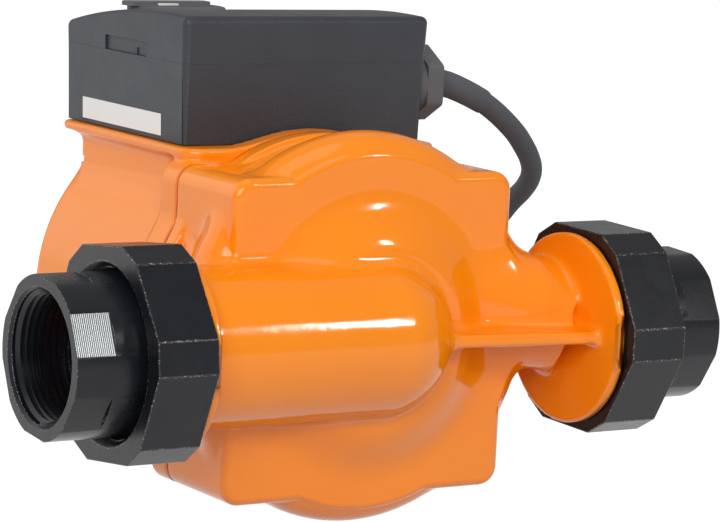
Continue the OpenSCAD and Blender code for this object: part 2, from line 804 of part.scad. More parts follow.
module cable_gland() color("black") in_frame() difference() {
    union() {
        along_lead(box_side) cylinder(r = gland_r, h = gland_flange_t);
        along_lead(box_side - box_wall - gland_thread_len)
            cylinder(r = gland_hole_r, h = box_wall + 2 * gland_thread_len + gland_flange_t);
    }
    along_lead(box_side - box_wall - gland_thread_len - cut_over)
        cylinder(r = lead_r + seal_gap, h = gland_reach + box_wall + gland_thread_len);
}

module gland_nut() color("black") in_frame() difference() {
    along_lead(box_side + gland_flange_t + fit_gap) {
        cylinder(r = gland_r, h = gland_reach - gland_flange_t - gland_dome_len, $fn = gland_grip_flats);
        translate([0, 0, gland_reach - gland_flange_t - gland_dome_len])
            cylinder(r1 = gland_r, r2 = gland_tip_r, h = gland_dome_len - fit_gap);
    }
    along_lead(box_side)
        cylinder(r = gland_hole_r + fit_gap, h = gland_flange_t + gland_thread_len + 2 * fit_gap);
    along_lead(box_side) cylinder(r = relief_root_r + free_gap, h = gland_reach + cut_over);
}

module gland_seal() color("dimgray") in_frame() {
    seal_start = box_side + gland_flange_t + gland_thread_len + 2 * fit_gap;
    along_lead(seal_start) tube(relief_root_r, lead_r + seal_gap, relief_start - seal_start - free_gap);
}

// The strain relief is a sleeve that tapers along the lead's first bend
module strain_relief() color("black") in_frame() difference() {
    taper = (relief_tip_r - relief_root_r) / (relief_last - relief_first);
    swept_tube([for (i = [relief_first:relief_last]) lead_path[i]],
        [for (i = [relief_first:relief_last]) relief_root_r + taper * (i - relief_first)], lead_sides);
    swept_tube([for (i = [relief_first - 1:relief_last + 1]) lead_path[i]],
        [for (i = [relief_first - 1:relief_last + 1]) lead_r + seal_gap], lead_sides);
}

function unit(v) = v / norm(v);
function heading(path, i) = unit(path[min(i + 1, len(path) - 1)] - path[max(i - 1, 0)]);
function ring_at(p, along, r, sides) =
    let (side = unit(cross(along, [0, 0, 1])), up = cross(side, along))
    [for (k = [0:sides - 1]) let (a = 360 * k / sides) p + r * (cos(a) * side + sin(a) * up)];

// A round tube swept along a list of points with a radius at each, closed at both ends
module swept_tube(path, radii, sides) {
    last = len(path) - 1;
    rings = [for (i = [0:last]) each ring_at(path[i], heading(path, i), radii[i], sides)];
    walls = [for (i = [0:last - 1], k = [0:sides - 1])
        let (a = i * sides + k, b = i * sides + (k + 1) % sides)
        each [[a, b, a + sides], [b, b + sides, a + sides]]];
    caps = [for (k = [1:sides - 2])
        each [[0, k + 1, k], [last * sides, last * sides + k, last * sides + k + 1]]];
    polyhedron(points = rings, faces = concat(walls, caps));
}

// The coil winds in on the floor, climbs in the half turn where it turns back, and winds out on top
function coil_radius(a) = coil_r - coil_pitch * min(a, coil_angle - a) / 360;
function coil_height(a) =
    let (climb = min(max((a - coil_mid_angle + 90) / 180, 0), 1),
        rise = min(max((a - coil_angle + plug_rise_angle) / plug_rise_angle, 0), 1))
    coil_floor + coil_pitch * (1 - cos(180 * climb)) / 2 + plug_rise * (1 - cos(180 * rise)) / 2;
function coil_point(a) = [coil_x + coil_radius(a) * cos(a), coil_y + coil_radius(a) * sin(a), coil_height(a)];
coil_steps = round(coil_rings * coil_turns);
coil_start = coil_point(0) - [0, lead_d, 0];
coil_out = [-sin(coil_angle), cos(coil_angle), 0];
coil_end = coil_point(coil_angle) + lead_d * coil_out;
coil_turning = [for (i = [0:coil_steps]) coil_point(coil_angle * i / coil_steps)];
coil_path = concat([coil_start], coil_turning, [coil_end]);
coil_self_gap = min([for (i = [0:coil_steps], j = [0:coil_steps])
    if (j - i > coil_rings / 2) norm(coil_path[i + 1] - coil_path[j + 1])]) - lead_d;
echo(coil_self_gap = coil_self_gap);

// The lead's route as distances from the gland's mouth. It is stretched to end at the coil's start
lead_steps = [
    [-13, 0, 0], [-5, 0, 0], [3.5, 0, 0], [10.5, 0, 0], [13.5, 0, -0.13], [16.5, 0, -0.55],
    [20, 0, -1.4], [27.5, 0.6, -4.2], [34.5, 2, -7.2], [41.5, 4, -11], [48.5, 7.2, -15.1],
    [56, 11.5, -19.7], [63.5, 17, -24.9], [70.8, 23.5, -30], [77.5, 31, -35.4], [82.6, 39.5, -40.6],
    [85.7, 48, -45.6], [86.8, 56.5, -51], [86.7, 64.5, -58.5], [86.3, 71.5, -67.5], [85.7, 77.3, -77.5],
    [85, 82.5, -88], [84.2, 87.8, -98.5], [83.2, 93.5, -108.5], [82.2, 100.5, -118], [81.1, 108.5, -125.6],
    [80, 117, -130.9], [79.3, 125.8, -133.5], [79, 134.4, -134.1], [79, 142.2, -134.1]];
gland_mouth = [box_side, lead_y, lead_z];
lead_run = coil_start - gland_mouth;
lead_stretch = [for (i = [0:2]) lead_run[i] / lead_steps[len(lead_steps) - 1][i]];
lead_path = [for (p = lead_steps) [for (i = [0:2]) gland_mouth[i] + p[i] * lead_stretch[i]]];
relief_start = lead_path[relief_first].x;
lead_length = sum_of([for (i = [1:len(lead_path) - 1]) norm(lead_path[i] - lead_path[i - 1])]);
coil_length = sum_of([for (i = [1:len(coil_path) - 1]) norm(coil_path[i] - coil_path[i - 1])]);
function sum_of(list) = list * [for (i = list) 1];
echo(lead_length = lead_length, coil_length = coil_length);

module mains_lead() color("black") in_frame() {
    swept_tube(lead_path, [for (p = lead_path) lead_r], lead_sides);
}

module lead_coil() color("black") in_frame() swept_tube(coil_path, [for (p = coil_path) lead_r], coil_sides);

module coil_tie() color("dimgray") in_frame() {
    inner = coil_radius(coil_mid_angle) - lead_r - free_gap;
    outer = coil_r + lead_r + free_gap;
    height = coil_pitch + lead_d + free_gap;
    translate([coil_x, coil_y, -stand_z]) rotate(tie_angle) translate([0, tie_w / 2, 0]) rotate([90, 0, 0])
        linear_extrude(tie_w) difference() {
            translate([inner - tie_t, 0]) square([outer - inner + 2 * tie_t, height + 2 * tie_t]);
            translate([inner, tie_t - fit_gap]) square([outer - inner, height + fit_gap]);
        }
}

// Plug, drawn along the way the coil's end leaves
module along_plug(x = 0) translate(coil_end) rotate([0, 90, coil_angle + 90]) translate([0, 0, x]) children();

module mains_plug() color("black") in_frame() along_plug() difference() {
    rotate_extrude() polygon([[0, 0], [boot_tip_r, 0], [boot_root_r, boot_len],
        [plug_face_r, boot_len + plug_taper_len], [plug_r, boot_len + plug_taper_len + lead_r],
        [plug_r, boot_len + plug_len], [0, boot_len + plug_len]]);
    plug_pin_places(boot_len + plug_len - pin_len / 2) cylinder(r = pin_r + fit_gap, h = pin_len);
}

module plug_pin_places(x) for (s = [-1, 1]) translate([0, s * pin_spacing / 2, x]) children();

module plug_pins() color("silver") in_frame() along_plug()
    plug_pin_places(boot_len + plug_len - pin_len / 2 + free_gap) {
    cylinder(r = pin_r, h = 3 * pin_len / 2 - pin_r - free_gap);
    translate([0, 0, 3 * pin_len / 2 - pin_r - free_gap]) sphere(r = pin_r);
}

// Unions
module nut_outline(turn) polygon([for (k = [0:5], s = [-1, 1])
    let (a = 60 * k + s * nut_corner_angle / 2 + turn) nut_r * [-sin(a), -cos(a)]]);

module union_nut(side, turn) color("black") in_frame() on_side(side) along_pipe(nut_start) difference() {
    linear_extrude(nut_len) nut_outline(turn);
    translate([0, 0, -cut_over])
        cylinder(r = port_thread_r + fit_gap, h = nut_lip_start - nut_start + cut_over);
    cylinder(r = nut_hole_r, h = nut_len + cut_over);
    translate([0, 0, nut_len - nut_chamfer])
        cylinder(r1 = nut_hole_r, r2 = nut_hole_r + nut_chamfer + cut_over, h = nut_chamfer + cut_over);
}

module union_insert(side, turn) color("black") in_frame() on_side(side) along_pipe(insert_start)
    rotate(turn) difference() {
    length = insert_end - insert_start;
    flats_start = length - insert_flats_len;
    union() {
        cylinder(r = insert_collar_r, h = insert_collar_t);
        translate([0, 0, insert_collar_t]) cylinder(r1 = insert_root_r, r2 = insert_r, h = insert_root_len);
        cylinder(r = insert_r, h = length);
    }
    translate([0, 0, -cut_over]) cylinder(r = insert_bore_r, h = length + cut_over);
    translate([0, 0, length - insert_thread_len])
        cylinder(r = insert_thread_r, h = insert_thread_len + cut_over);
    translate([0, 0, length - insert_chamfer]) cylinder(r1 = insert_thread_r,
        r2 = insert_thread_r + insert_chamfer + cut_over, h = insert_chamfer + cut_over);
    for (k = [0:5]) rotate(60 * k) translate([-insert_r, insert_flats_af / 2, flats_start])
        cube([2 * insert_r, insert_r, insert_flats_len + cut_over]);
}

module union_gasket(side) color("black") in_frame() on_side(side) along_pipe(port_half)
    tube(insert_collar_r - free_gap, gasket_inner_r, gasket_t);

module union_nut_left() union_nut(-1, left_nut_turn);
module union_nut_right() union_nut(1, right_nut_turn);
module union_insert_left() union_insert(-1, left_insert_turn);
module union_insert_right() union_insert(1, right_insert_turn);
module union_gasket_left() union_gasket(-1);
module union_gasket_right() union_gasket(1);

pump_casing();
wear_ring();
impeller();
motor_shaft();
rotor_core();
thrust_ring();
front_bearing();
rear_bearing();
bearing_plate();
rotor_can();
can_o_ring();
casing_gasket();
motor_housing();
stator_core();
stator_windings();
casing_screws();
vent_screw();
vent_seal();
box_tray();
box_lid();
box_screws();
side_label();
speed_dial();
speed_switch();
capacitor();
terminal_block();
earth_screw();
cable_gland();
gland_nut();
gland_seal();
strain_relief();
mains_lead();
lead_coil();
coil_tie();
mains_plug();
plug_pins();
union_nut_left();
union_nut_right();
union_insert_left();
union_insert_right();
union_gasket_left();
union_gasket_right();
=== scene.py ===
"""Finished looks of a wet-rotor heating circulator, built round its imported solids."""

import logging
import math
from dataclasses import dataclass
from enum import Enum

import bmesh
import bpy
import numpy as np
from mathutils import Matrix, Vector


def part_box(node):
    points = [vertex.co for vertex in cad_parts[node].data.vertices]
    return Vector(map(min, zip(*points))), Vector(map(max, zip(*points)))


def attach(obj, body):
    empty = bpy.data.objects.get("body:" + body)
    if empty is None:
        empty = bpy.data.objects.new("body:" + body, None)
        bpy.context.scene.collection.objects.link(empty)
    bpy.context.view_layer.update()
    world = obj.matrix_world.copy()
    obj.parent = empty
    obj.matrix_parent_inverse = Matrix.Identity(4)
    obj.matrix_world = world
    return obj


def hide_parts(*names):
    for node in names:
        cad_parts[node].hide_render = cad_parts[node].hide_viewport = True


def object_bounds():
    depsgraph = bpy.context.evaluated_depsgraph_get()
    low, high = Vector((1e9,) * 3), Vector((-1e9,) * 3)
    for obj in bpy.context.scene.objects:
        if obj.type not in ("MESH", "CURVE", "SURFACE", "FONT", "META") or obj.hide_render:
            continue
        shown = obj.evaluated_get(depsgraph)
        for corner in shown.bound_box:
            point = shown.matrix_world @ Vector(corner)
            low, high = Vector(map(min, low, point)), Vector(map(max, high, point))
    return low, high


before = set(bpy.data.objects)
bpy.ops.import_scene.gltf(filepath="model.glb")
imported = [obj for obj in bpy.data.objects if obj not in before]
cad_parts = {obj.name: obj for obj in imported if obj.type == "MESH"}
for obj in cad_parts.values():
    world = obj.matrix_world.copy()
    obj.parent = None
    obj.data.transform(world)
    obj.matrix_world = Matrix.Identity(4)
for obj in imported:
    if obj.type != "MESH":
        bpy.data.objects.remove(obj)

import openvdb
from mathutils import Matrix, Vector

Pair = tuple[float, float]
Triple = tuple[float, float, float]
Mesh = bpy.types.Mesh
Piece = bpy.types.Object
Socket = bpy.types.NodeSocket
Tree = bpy.types.NodeTree

MM = 0.001
MOTTLE_STEPS = (0.32, 0.68)
STRIPE_STEPS = (0.15, 0.75)
FLECK_EDGE = 0.06
FAR = 50.0
GRID_REACH = 5.0
RIM_ANGLE = 50.0
RIM_REACH = 0.003
RIM_HEIGHT = 0.005
FLAT_AREA = 30e-6
GLOSS_SCALE = 2.3
MIX_MASK, MIX_UNDER, MIX_OVER, MIX_RESULT = 0, 6, 7, 2
CAD_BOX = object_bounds()
LOG = logging.getLogger("circulator")


class Body(str, Enum):
    """Rigid bodies that pieces ride on."""

    PUMP = "pump"
    DIAL = "dial"
    VENT = "vent"
    NUT_LEFT = "nut_left"
    NUT_RIGHT = "nut_right"


class Grain(Enum):
    """How the fine relief of a surface runs, with the axis where it runs along one."""

    PEEL = "peel"
    CAST = "cast"
    SPARK = "spark"
    TURNED = "X"
    STACKED = "Y"
    WOUND = "Z"


def pump_centre() -> Vector:
    """Where the pipe's axis meets the shaft's axis, in the row frame."""
    low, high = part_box("union_insert_left")
    return Vector((0.0, (low.y + high.y) / 2, (low.z + high.z) / 2))


CENTRE = pump_centre()


def place(x: float, y: float, z: float) -> Vector:
    """Turns millimetres about the pump's centre into the row frame.

    Args:
        x: Distance along the pipe.
        y: Distance back along the shaft.
        z: Height above the pipe's axis.

    Returns:
        The point in metres.
    """
    return CENTRE + Vector((x, y, z)) * MM


@dataclass(frozen=True)
class Finish:
    """A procedural material with mottled colour, varied gloss and fine relief."""

    name: str
    colour: Triple
    shade: Triple
    roughness: float = 0.4
    roughness_spread: float = 0.08
    metallic: float = 0.0
    specular: float = 0.5
    mottle_scale: float = 60.0
    grain: Grain = Grain.PEEL
    grain_scale: float = 900.0
    relief_mm: float = 0.03
    relief_strength: float = 0.3
    fleck: Triple | None = None
    fleck_scale: float = 300.0
    fleck_share: float = 0.62
    striped: bool = False

    def build(self) -> bpy.types.Material:
        """Makes the material, or finds it if it is there already.

        Returns:
            The Blender material.
        """
        found = bpy.data.materials.get(self.name)
        if found:
            return found
        material = bpy.data.materials.new(self.name)
        material.use_nodes = True
        tree = material.node_tree
        shader = tree.nodes["Principled BSDF"]
        shader.inputs["Metallic"].default_value = self.metallic
        shader.inputs["Specular IOR Level"].default_value = self.specular
        spot = tree.nodes.new("ShaderNodeTexCoord").outputs["Object"]
        relief = self._relief(tree, spot)
        if self.striped:
            mask = self._steps(tree, relief, *STRIPE_STEPS)
        else:
            mask = self._steps(tree, self._noise(tree, spot, self.mottle_scale, 6.0), *MOTTLE_STEPS)
        base = self._blend(tree, mask, self.shade, self.colour)
        if self.fleck:
            flecks = self._noise(tree, spot, self.fleck_scale, 3.0)
            mask = self._steps(tree, flecks, self.fleck_share, self.fleck_share + FLECK_EDGE)
            base = self._blend(tree, mask, base, self.fleck)
        tree.links.new(base, shader.inputs["Base Color"])
        gloss = tree.nodes.new("ShaderNodeMapRange")
        gloss.inputs["To Min"].default_value = max(0.02, self.roughness - self.roughness_spread)
        gloss.inputs["To Max"].default_value = min(1.0, self.roughness + self.roughness_spread)
        tree.links.new(self._noise(tree, spot, self.mottle_scale * GLOSS_SCALE, 4.0), gloss.inputs["Value"])
        tree.links.new(gloss.outputs["Result"], shader.inputs["Roughness"])
        bump = tree.nodes.new("ShaderNodeBump")
        bump.inputs["Distance"].default_value = self.relief_mm * MM
        bump.inputs["Strength"].default_value = self.relief_strength
        tree.links.new(relief, bump.inputs["Height"])
        tree.links.new(bump.outputs["Normal"], shader.inputs["Normal"])
        return material

    @staticmethod
    def _noise(tree: Tree, spot: Socket, scale: float, octaves: float) -> Socket:
        """Adds a noise texture.

        Args:
            tree: The material's nodes.
            spot: Where the noise is read.
            scale: Its frequency per metre.
            octaves: Its number of octaves.

        Returns:
            The noise's value.
        """
        noise = tree.nodes.new("ShaderNodeTexNoise")
        noise.inputs["Scale"].default_value = scale
        noise.inputs["Detail"].default_value = octaves
        tree.links.new(spot, noise.inputs["Vector"])
        return noise.outputs["Fac"]

    @staticmethod
    def _steps(tree: Tree, value: Socket, low: float, high: float) -> Socket:
        """Stretches a value between two limits onto 0 to 1.

        Args:
            tree: The material's nodes.
            value: The value.
            low: What becomes 0.
            high: What becomes 1.

        Returns:
            The stretched value.
        """
        ramp = tree.nodes.new("ShaderNodeMapRange")
        ramp.inputs["From Min"].default_value = low
        ramp.inputs["From Max"].default_value = high
        tree.links.new(value, ramp.inputs["Value"])
        return ramp.outputs["Result"]

    @staticmethod
    def _blend(tree: Tree, mask: Socket, under: Socket | Triple, over: Triple) -> Socket:
        """Lays a colour over another one where the mask is 1.

        Args:
            tree: The material's nodes.
            mask: Where the upper colour shows.
            under: The lower colour, plain or linked.
            over: The upper colour.

        Returns:
            The mixed colour.
        """
        mix = tree.nodes.new("ShaderNodeMix")
        mix.data_type = "RGBA"
        tree.links.new(mask, mix.inputs[MIX_MASK])
        if isinstance(under, tuple):
            mix.inputs[MIX_UNDER].default_value = (*under, 1.0)
        else:
            tree.links.new(under, mix.inputs[MIX_UNDER])
        mix.inputs[MIX_OVER].default_value = (*over, 1.0)
        return mix.outputs[MIX_RESULT]

    def _relief(self, tree: Tree, spot: Socket) -> Socket:
        """Adds the height pattern of the surface's grain.

        Args:
            tree: The material's nodes.
            spot: Where the pattern is read.

        Returns:
            The height.
        """
        if self.grain in (Grain.PEEL, Grain.CAST):
            return self._noise(tree, spot, self.grain_scale, 2.0 if self.grain is Grain.PEEL else 5.0)
        if self.grain is Grain.SPARK:
            cells = tree.nodes.new("ShaderNodeTexVoronoi")
            cells.inputs["Scale"].default_value = self.grain_scale
            tree.links.new(spot, cells.inputs["Vector"])
            return cells.outputs["Distance"]
        wave = tree.nodes.new("ShaderNodeTexWave")
        wave.bands_direction = self.grain.value
        wave.inputs["Scale"].default_value = self.grain_scale
        wave.inputs["Distortion"].default_value = 0.4
        tree.links.new(spot, wave.inputs["Vector"])
        return wave.outputs["Fac"]


ORANGE = (0.965, 0.266, 0.003)
DEEP_ORANGE = (0.95, 0.25, 0.003)
ENAMEL_CAST = Finish(
    "orange_enamel_on_iron", ORANGE, DEEP_ORANGE, 0.11, 0.02, mottle_scale=24.0, grain=Grain.CAST,
    grain_scale=260.0, relief_mm=0.3, relief_strength=0.2)
ENAMEL_SHELL = Finish(
    "orange_enamel_on_shell", ORANGE, DEEP_ORANGE, 0.2, 0.04, mottle_scale=20.0, grain_scale=420.0,
    relief_mm=0.15, relief_strength=0.2)
ENAMEL_JOINT = Finish(
    "orange_enamel_in_joint", (0.8, 0.17, 0.004), (0.62, 0.12, 0.004), 0.4, 0.06,
    grain_scale=600.0, relief_mm=0.1)
BOX_PLASTIC = Finish(
    "grained_box_plastic", (0.03, 0.034, 0.043), (0.024, 0.027, 0.035), 0.46, 0.08, mottle_scale=45.0,
    grain=Grain.SPARK, grain_scale=1500.0, relief_mm=0.2, relief_strength=0.45)
DIAL_PLASTIC = Finish(
    "dial_plastic", (0.02, 0.022, 0.028), (0.015, 0.017, 0.021), 0.42, 0.05, grain_scale=1500.0,
    relief_mm=0.04)
GLAND_PLASTIC = Finish(
    "gland_plastic", (0.026, 0.03, 0.038), (0.02, 0.023, 0.03), 0.42, 0.06, grain_scale=1200.0,
    relief_mm=0.05)
LEAD_RUBBER = Finish(
    "lead_rubber", (0.034, 0.036, 0.044), (0.026, 0.027, 0.034), 0.42, 0.07, mottle_scale=80.0,
    relief_mm=0.06)
SEAL_RUBBER = Finish(
    "seal_rubber", (0.03, 0.03, 0.03), (0.022, 0.022, 0.022), 0.65, grain_scale=1500.0, relief_mm=0.05)
BLACK_IRON = Finish(
    "blackened_iron", (0.0075, 0.0085, 0.0125), (0.0045, 0.005, 0.0075), 0.27, 0.07, specular=0.36,
    mottle_scale=70.0, grain=Grain.CAST, grain_scale=420.0, relief_mm=0.14)
WORN_EDGE = Finish(
    "worn_edge", (0.012, 0.012, 0.014), (0.008, 0.008, 0.009), 0.32, mottle_scale=200.0, grain=Grain.CAST,
    relief_mm=0.08, fleck=(0.34, 0.33, 0.33), fleck_scale=2100.0, fleck_share=0.58)
# The milled flat's pale striped colour is a painted highlight: it goes only on the left insert's flat that
# faces up and to the front.
FLAT_HIGHLIGHT_PAINT = Finish(
    "milled_flat_with_painted_highlight", (0.5, 0.52, 0.52), (0.2, 0.21, 0.21), 0.34, 0.1, 0.75, mottle_scale=600.0,
    grain=Grain.TURNED,
    grain_scale=480.0, relief_mm=0.16, relief_strength=1.0, striped=True)
STAINLESS = Finish(
    "stainless", (0.6, 0.6, 0.6), (0.5, 0.5, 0.5), 0.28, 0.08, 1.0, grain=Grain.TURNED, grain_scale=700.0,
    relief_mm=0.02)
GROUND_STEEL = Finish(
    "ground_steel", (0.66, 0.66, 0.67), (0.56, 0.56, 0.57), 0.16, 0.05, 1.0, grain=Grain.STACKED,
    grain_scale=1500.0, relief_mm=0.01)
CORE_STEEL = Finish(
    "core_steel", (0.36, 0.36, 0.38), (0.27, 0.27, 0.28), 0.4, 0.08, 0.9, grain=Grain.STACKED,
    grain_scale=320.0,
    relief_mm=0.15, relief_strength=0.6)
COPPER_WIRE = Finish(
    "lacquered_windings", (0.5, 0.16, 0.05), (0.36, 0.1, 0.03), 0.34, 0.08, 0.7, grain=Grain.WOUND,
    grain_scale=300.0, relief_mm=0.3, relief_strength=0.8)
BLACK_STEEL = Finish(
    "black_steel", (0.035, 0.035, 0.037), (0.02, 0.02, 0.022), 0.4, 0.08, 0.6, grain=Grain.CAST,
    grain_scale=1200.0, relief_mm=0.04)
PLATED_BRASS = Finish(
    "plated_brass", (0.62, 0.5, 0.28), (0.5, 0.39, 0.2), 0.25, 0.08, 1.0, grain=Grain.STACKED,
    relief_mm=0.02)
CARBON = Finish(
    "bearing_carbon", (0.05, 0.05, 0.052), (0.035, 0.035, 0.036), 0.45, 0.06, grain=Grain.CAST,
    grain_scale=1600.0)
CERAMIC = Finish(
    "bearing_ceramic", (0.7, 0.69, 0.65), (0.62, 0.61, 0.57), 0.22, 0.04, grain_scale=1600.0,
    relief_mm=0.01)
IVORY_PLASTIC = Finish("ivory_plastic", (0.68, 0.63, 0.5), (0.6, 0.55, 0.43), 0.45, 0.06)
PALE_CASE = Finish("pale_case", (0.66, 0.66, 0.63), (0.6, 0.6, 0.57), 0.38, 0.05, relief_mm=0.02)
LABEL_FILM = Finish(
    "label_film", (0.56, 0.59, 0.65), (0.5, 0.53, 0.59), 0.4, 0.06, mottle_scale=120.0, grain_scale=700.0)
DIAL_MARK = Finish(
    "dial_inlay", (0.75, 0.75, 0.72), (0.65, 0.65, 0.62), 0.45, 0.05, grain_scale=1500.0, relief_mm=0.01)
TIE_PLASTIC = Finish("tie_plastic", (0.2, 0.2, 0.2), (0.16, 0.16, 0.16), 0.5, 0.05)


def adopt(piece: Piece, body: Body, slot: str, *nodes: str) -> Piece:
    """Lets a piece ride on a body and stand for solids, which it hides.

    Args:
        piece: The finished piece.
        body: The body that carries it.
        slot: The record's material slot; not used.
        nodes: The solids that it stands for.

    Returns:
        The piece.
    """
    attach(piece, body.value)
    if nodes:
        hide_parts(*nodes)
    LOG.info("%s: %d faces on %s", piece.name, len(piece.data.polygons), body.value)
    return piece


def new_object(name: str, mesh: Mesh, *finishes: Finish) -> Piece:
    """Puts a mesh in the scene with its materials.

    Args:
        name: The piece's name.
        mesh: Its mesh, in the row frame.
        finishes: Its materials in slot order.

    Returns:
        The new object.
    """
    piece = bpy.data.objects.new(name, mesh)
    bpy.context.scene.collection.objects.link(piece)
    for finish in finishes:
        mesh.materials.append(finish.build())
    return piece


def shade(mesh: Mesh, angle: float = 32.0) -> None:
    """Shades a mesh smooth, but for its sharp edges.

    Args:
        mesh: The mesh.
        angle: Edges sharper than this angle in degrees stay sharp.
    """
    work = bmesh.new()
    work.from_mesh(mesh)
    limit = math.radians(angle)
    for face in work.faces:
        face.smooth = True
    for edge in work.edges:
        edge.smooth = len(edge.link_faces) == 2 and edge.calc_face_angle(0.0) < limit
    work.to_mesh(mesh)
    work.free()


class Solid:
    """Signed distances of a shape on a grid, in millimetres about the pump's centre."""

    def __init__(self, low: Triple, high: Triple, step: float) -> None:
        """Sets up the grid.

        Args:
            low: The box's lowest corner.
            high: The box's highest corner.
            step: The grid's spacing.
        """
        axes = [np.arange(low[i], high[i] + step, step, dtype=np.float32) for i in range(3)]
        self.x, self.y, self.z = np.meshgrid(*axes, indexing="ij", sparse=True)
        self.low = np.array(low)
        self.step = step
        self.field = np.full([len(a) for a in axes], FAR, np.float32)

    def add(self, shape: np.ndarray, soft: float | np.ndarray = 0.0) -> None:
        """Joins a shape to the solid, with a fillet of about the given size."""
        self.field = join(self.field, shape, soft)

    def cut(self, shape: np.ndarray, soft: float = 0.0) -> None:
        """Takes a shape out of the solid, with a rounded edge of about the given size."""
        self.field = -join(-self.field, shape, soft)

    def across(self, axis: str, centre: Pair = (0.0, 0.0)) -> np.ndarray:
        """Distance from a line that runs along an axis.

        Args:
            axis: The line's axis.
            centre: Its place on the other two axes.

        Returns:
            The distances.
        """
        a, b = {"x": (self.y, self.z), "y": (self.x, self.z), "z": (self.x, self.y)}[axis]
        return np.hypot(a - centre[0], b - centre[1])

    def disc(self, axis: str, radius: float, start: float, end: float, edge: float = 0.0,
             centre: Pair = (0.0, 0.0), end_radius: float | None = None) -> np.ndarray:
        """A round bar along an axis, with rounded rims.

        Args:
            axis: The bar's axis.
            radius: Its radius at the start.
            start: Where it starts.
            end: Where it ends.
            edge: Radius of its rims.
            centre: Its place on the other two axes.
            end_radius: Its radius at the end, if it tapers.

        Returns:
            The distances.
        """
        along = getattr(self, axis)
        share = (along - start) / (end - start)
        width = radius + ((radius if end_radius is None else end_radius) - radius) * np.clip(share, 0, 1)
        return extrude(self.across(axis, centre) - width, along, start, end, edge)

    def cone(self, start: Triple, end: Triple, radius: float,
             end_radius: float) -> np.ndarray:
        """A tapered round bar between two points.

        Args:
            start: The first point.
            end: The second point.
            radius: Radius at the first point.
            end_radius: Radius at the second point.

        Returns:
            The distances.
        """
        a = np.array(start)
        run = np.array(end) - a
        length = float(np.linalg.norm(run))
        way = run / length
        px, py, pz = self.x - a[0], self.y - a[1], self.z - a[2]
        along = px * way[0] + py * way[1] + pz * way[2]
        far = np.sqrt(np.maximum(px * px + py * py + pz * pz - along * along, 0.0))
        width = radius + (end_radius - radius) * np.clip(along / length, 0, 1)
        return extrude(far - width, along, 0.0, length, 0.0)

    def value(self, points: np.ndarray) -> np.ndarray:
        """Reads the distances at points.

        Args:
            points: The points, in millimetres about the pump's centre.

        Returns:
            The distances.
        """
        at = (points - self.low) / self.step
        cell = np.clip(np.floor(at).astype(int), 0, np.array(self.field.shape) - 2)
        share = at - cell
        found = np.zeros(len(points))
        for corner in np.ndindex(2, 2, 2):
            weight = np.prod(np.where(corner, share, 1 - share), axis=1)
            i, j, k = (cell + corner).T
            found += weight * self.field[i, j, k]
        return found

    def outward(self, points: np.ndarray) -> np.ndarray:
        """Reads the directions straight away from the surface at points.

        Args:
            points: The points, in millimetres about the pump's centre.

        Returns:
            The directions, as unit vectors.
        """
        reach = 0.6 * self.step
        slope = np.stack([self.value(points + reach * axis) - self.value(points - reach * axis)
                          for axis in np.eye(3)], axis=1)
        return slope / np.maximum(np.linalg.norm(slope, axis=1, keepdims=True), 1e-9)

    def mesh(self, name: str, most_faces: int) -> Mesh:
        """Turns the solid's surface into a smoothly shaded mesh in the row frame.

        Args:
            name: The mesh's name.
            most_faces: The most triangles that it may have.

        Returns:
            The mesh.
        """
        grid = openvdb.FloatGrid(GRID_REACH)
        grid.copyFromArray(np.clip(self.field, -GRID_REACH, GRID_REACH).astype(np.float32))
        grid.transform = openvdb.createLinearTransform(voxelSize=self.step)
        points, quads = grid.convertToQuads(0.0)
        mesh = bpy.data.meshes.new(name)
        mesh.from_pydata(((points + self.low) * MM).tolist(), [], quads[:, ::-1].tolist())
        work = bmesh.new()
        work.from_mesh(mesh)
        if work.calc_volume(signed=True) < 0:
            bmesh.ops.reverse_faces(work, faces=work.faces)
        work.to_mesh(mesh)
        work.free()
        if 2 * len(quads) > most_faces:
            mesh = modified(mesh, "DECIMATE", ratio=most_faces / (2 * len(quads)))
        mesh.name = name
        self.settle(mesh)
        return mesh

    def settle(self, mesh: Mesh) -> None:
        """Moves a mesh's points onto the surface, sets them in the row frame and shades them by its slope.

        Args:
            mesh: The mesh, in metres about the pump's centre.
        """
        points = np.empty(3 * len(mesh.vertices))
        mesh.vertices.foreach_get("co", points)
        points = points.reshape(-1, 3) / MM
        for _ in range(2):
            reach = np.clip(self.value(points), -self.step / 2, self.step / 2)
            points -= reach[:, None] * self.outward(points)
        normals = self.outward(points)
        low, high = (np.array(corner) for corner in CAD_BOX)
        points = np.clip(points * MM + np.array(CENTRE), low, high)
        mesh.vertices.foreach_set("co", points.ravel())
        mesh.shade_smooth()
        mesh.normals_split_custom_set_from_vertices(normals.tolist())
        mesh.update()


def join(a: np.ndarray, b: np.ndarray, soft: float | np.ndarray) -> np.ndarray:
    """Union of two distance fields.

    Args:
        a: The first field.
        b: The second field.
        soft: About the size of the fillet between them.

    Returns:
        The joined field.
    """
    if np.max(soft) <= 0:
        return np.minimum(a, b)
    soft = np.maximum(soft, 1e-3)
    h = np.clip(0.5 + 0.5 * (b - a) / soft, 0, 1)
    return b + (a - b) * h - soft * h * (1 - h)


def extrude(outline: np.ndarray, along: np.ndarray, start: float, end: float, edge: float) -> np.ndarray:
    """Carries a flat shape's distances along an axis.

    Args:
        outline: Distances from the flat shape.
        along: Position along the axis.
        start: Where the shape starts.
        end: Where it ends.
        edge: Radius of its rims.

    Returns:
        The distances of the prism.
    """
    side = outline + edge
    cap = np.abs(along - (start + end) / 2) - (end - start) / 2 + edge
    inside = np.minimum(np.maximum(side, cap), 0)
    return inside + np.hypot(np.maximum(side, 0), np.maximum(cap, 0)) - edge


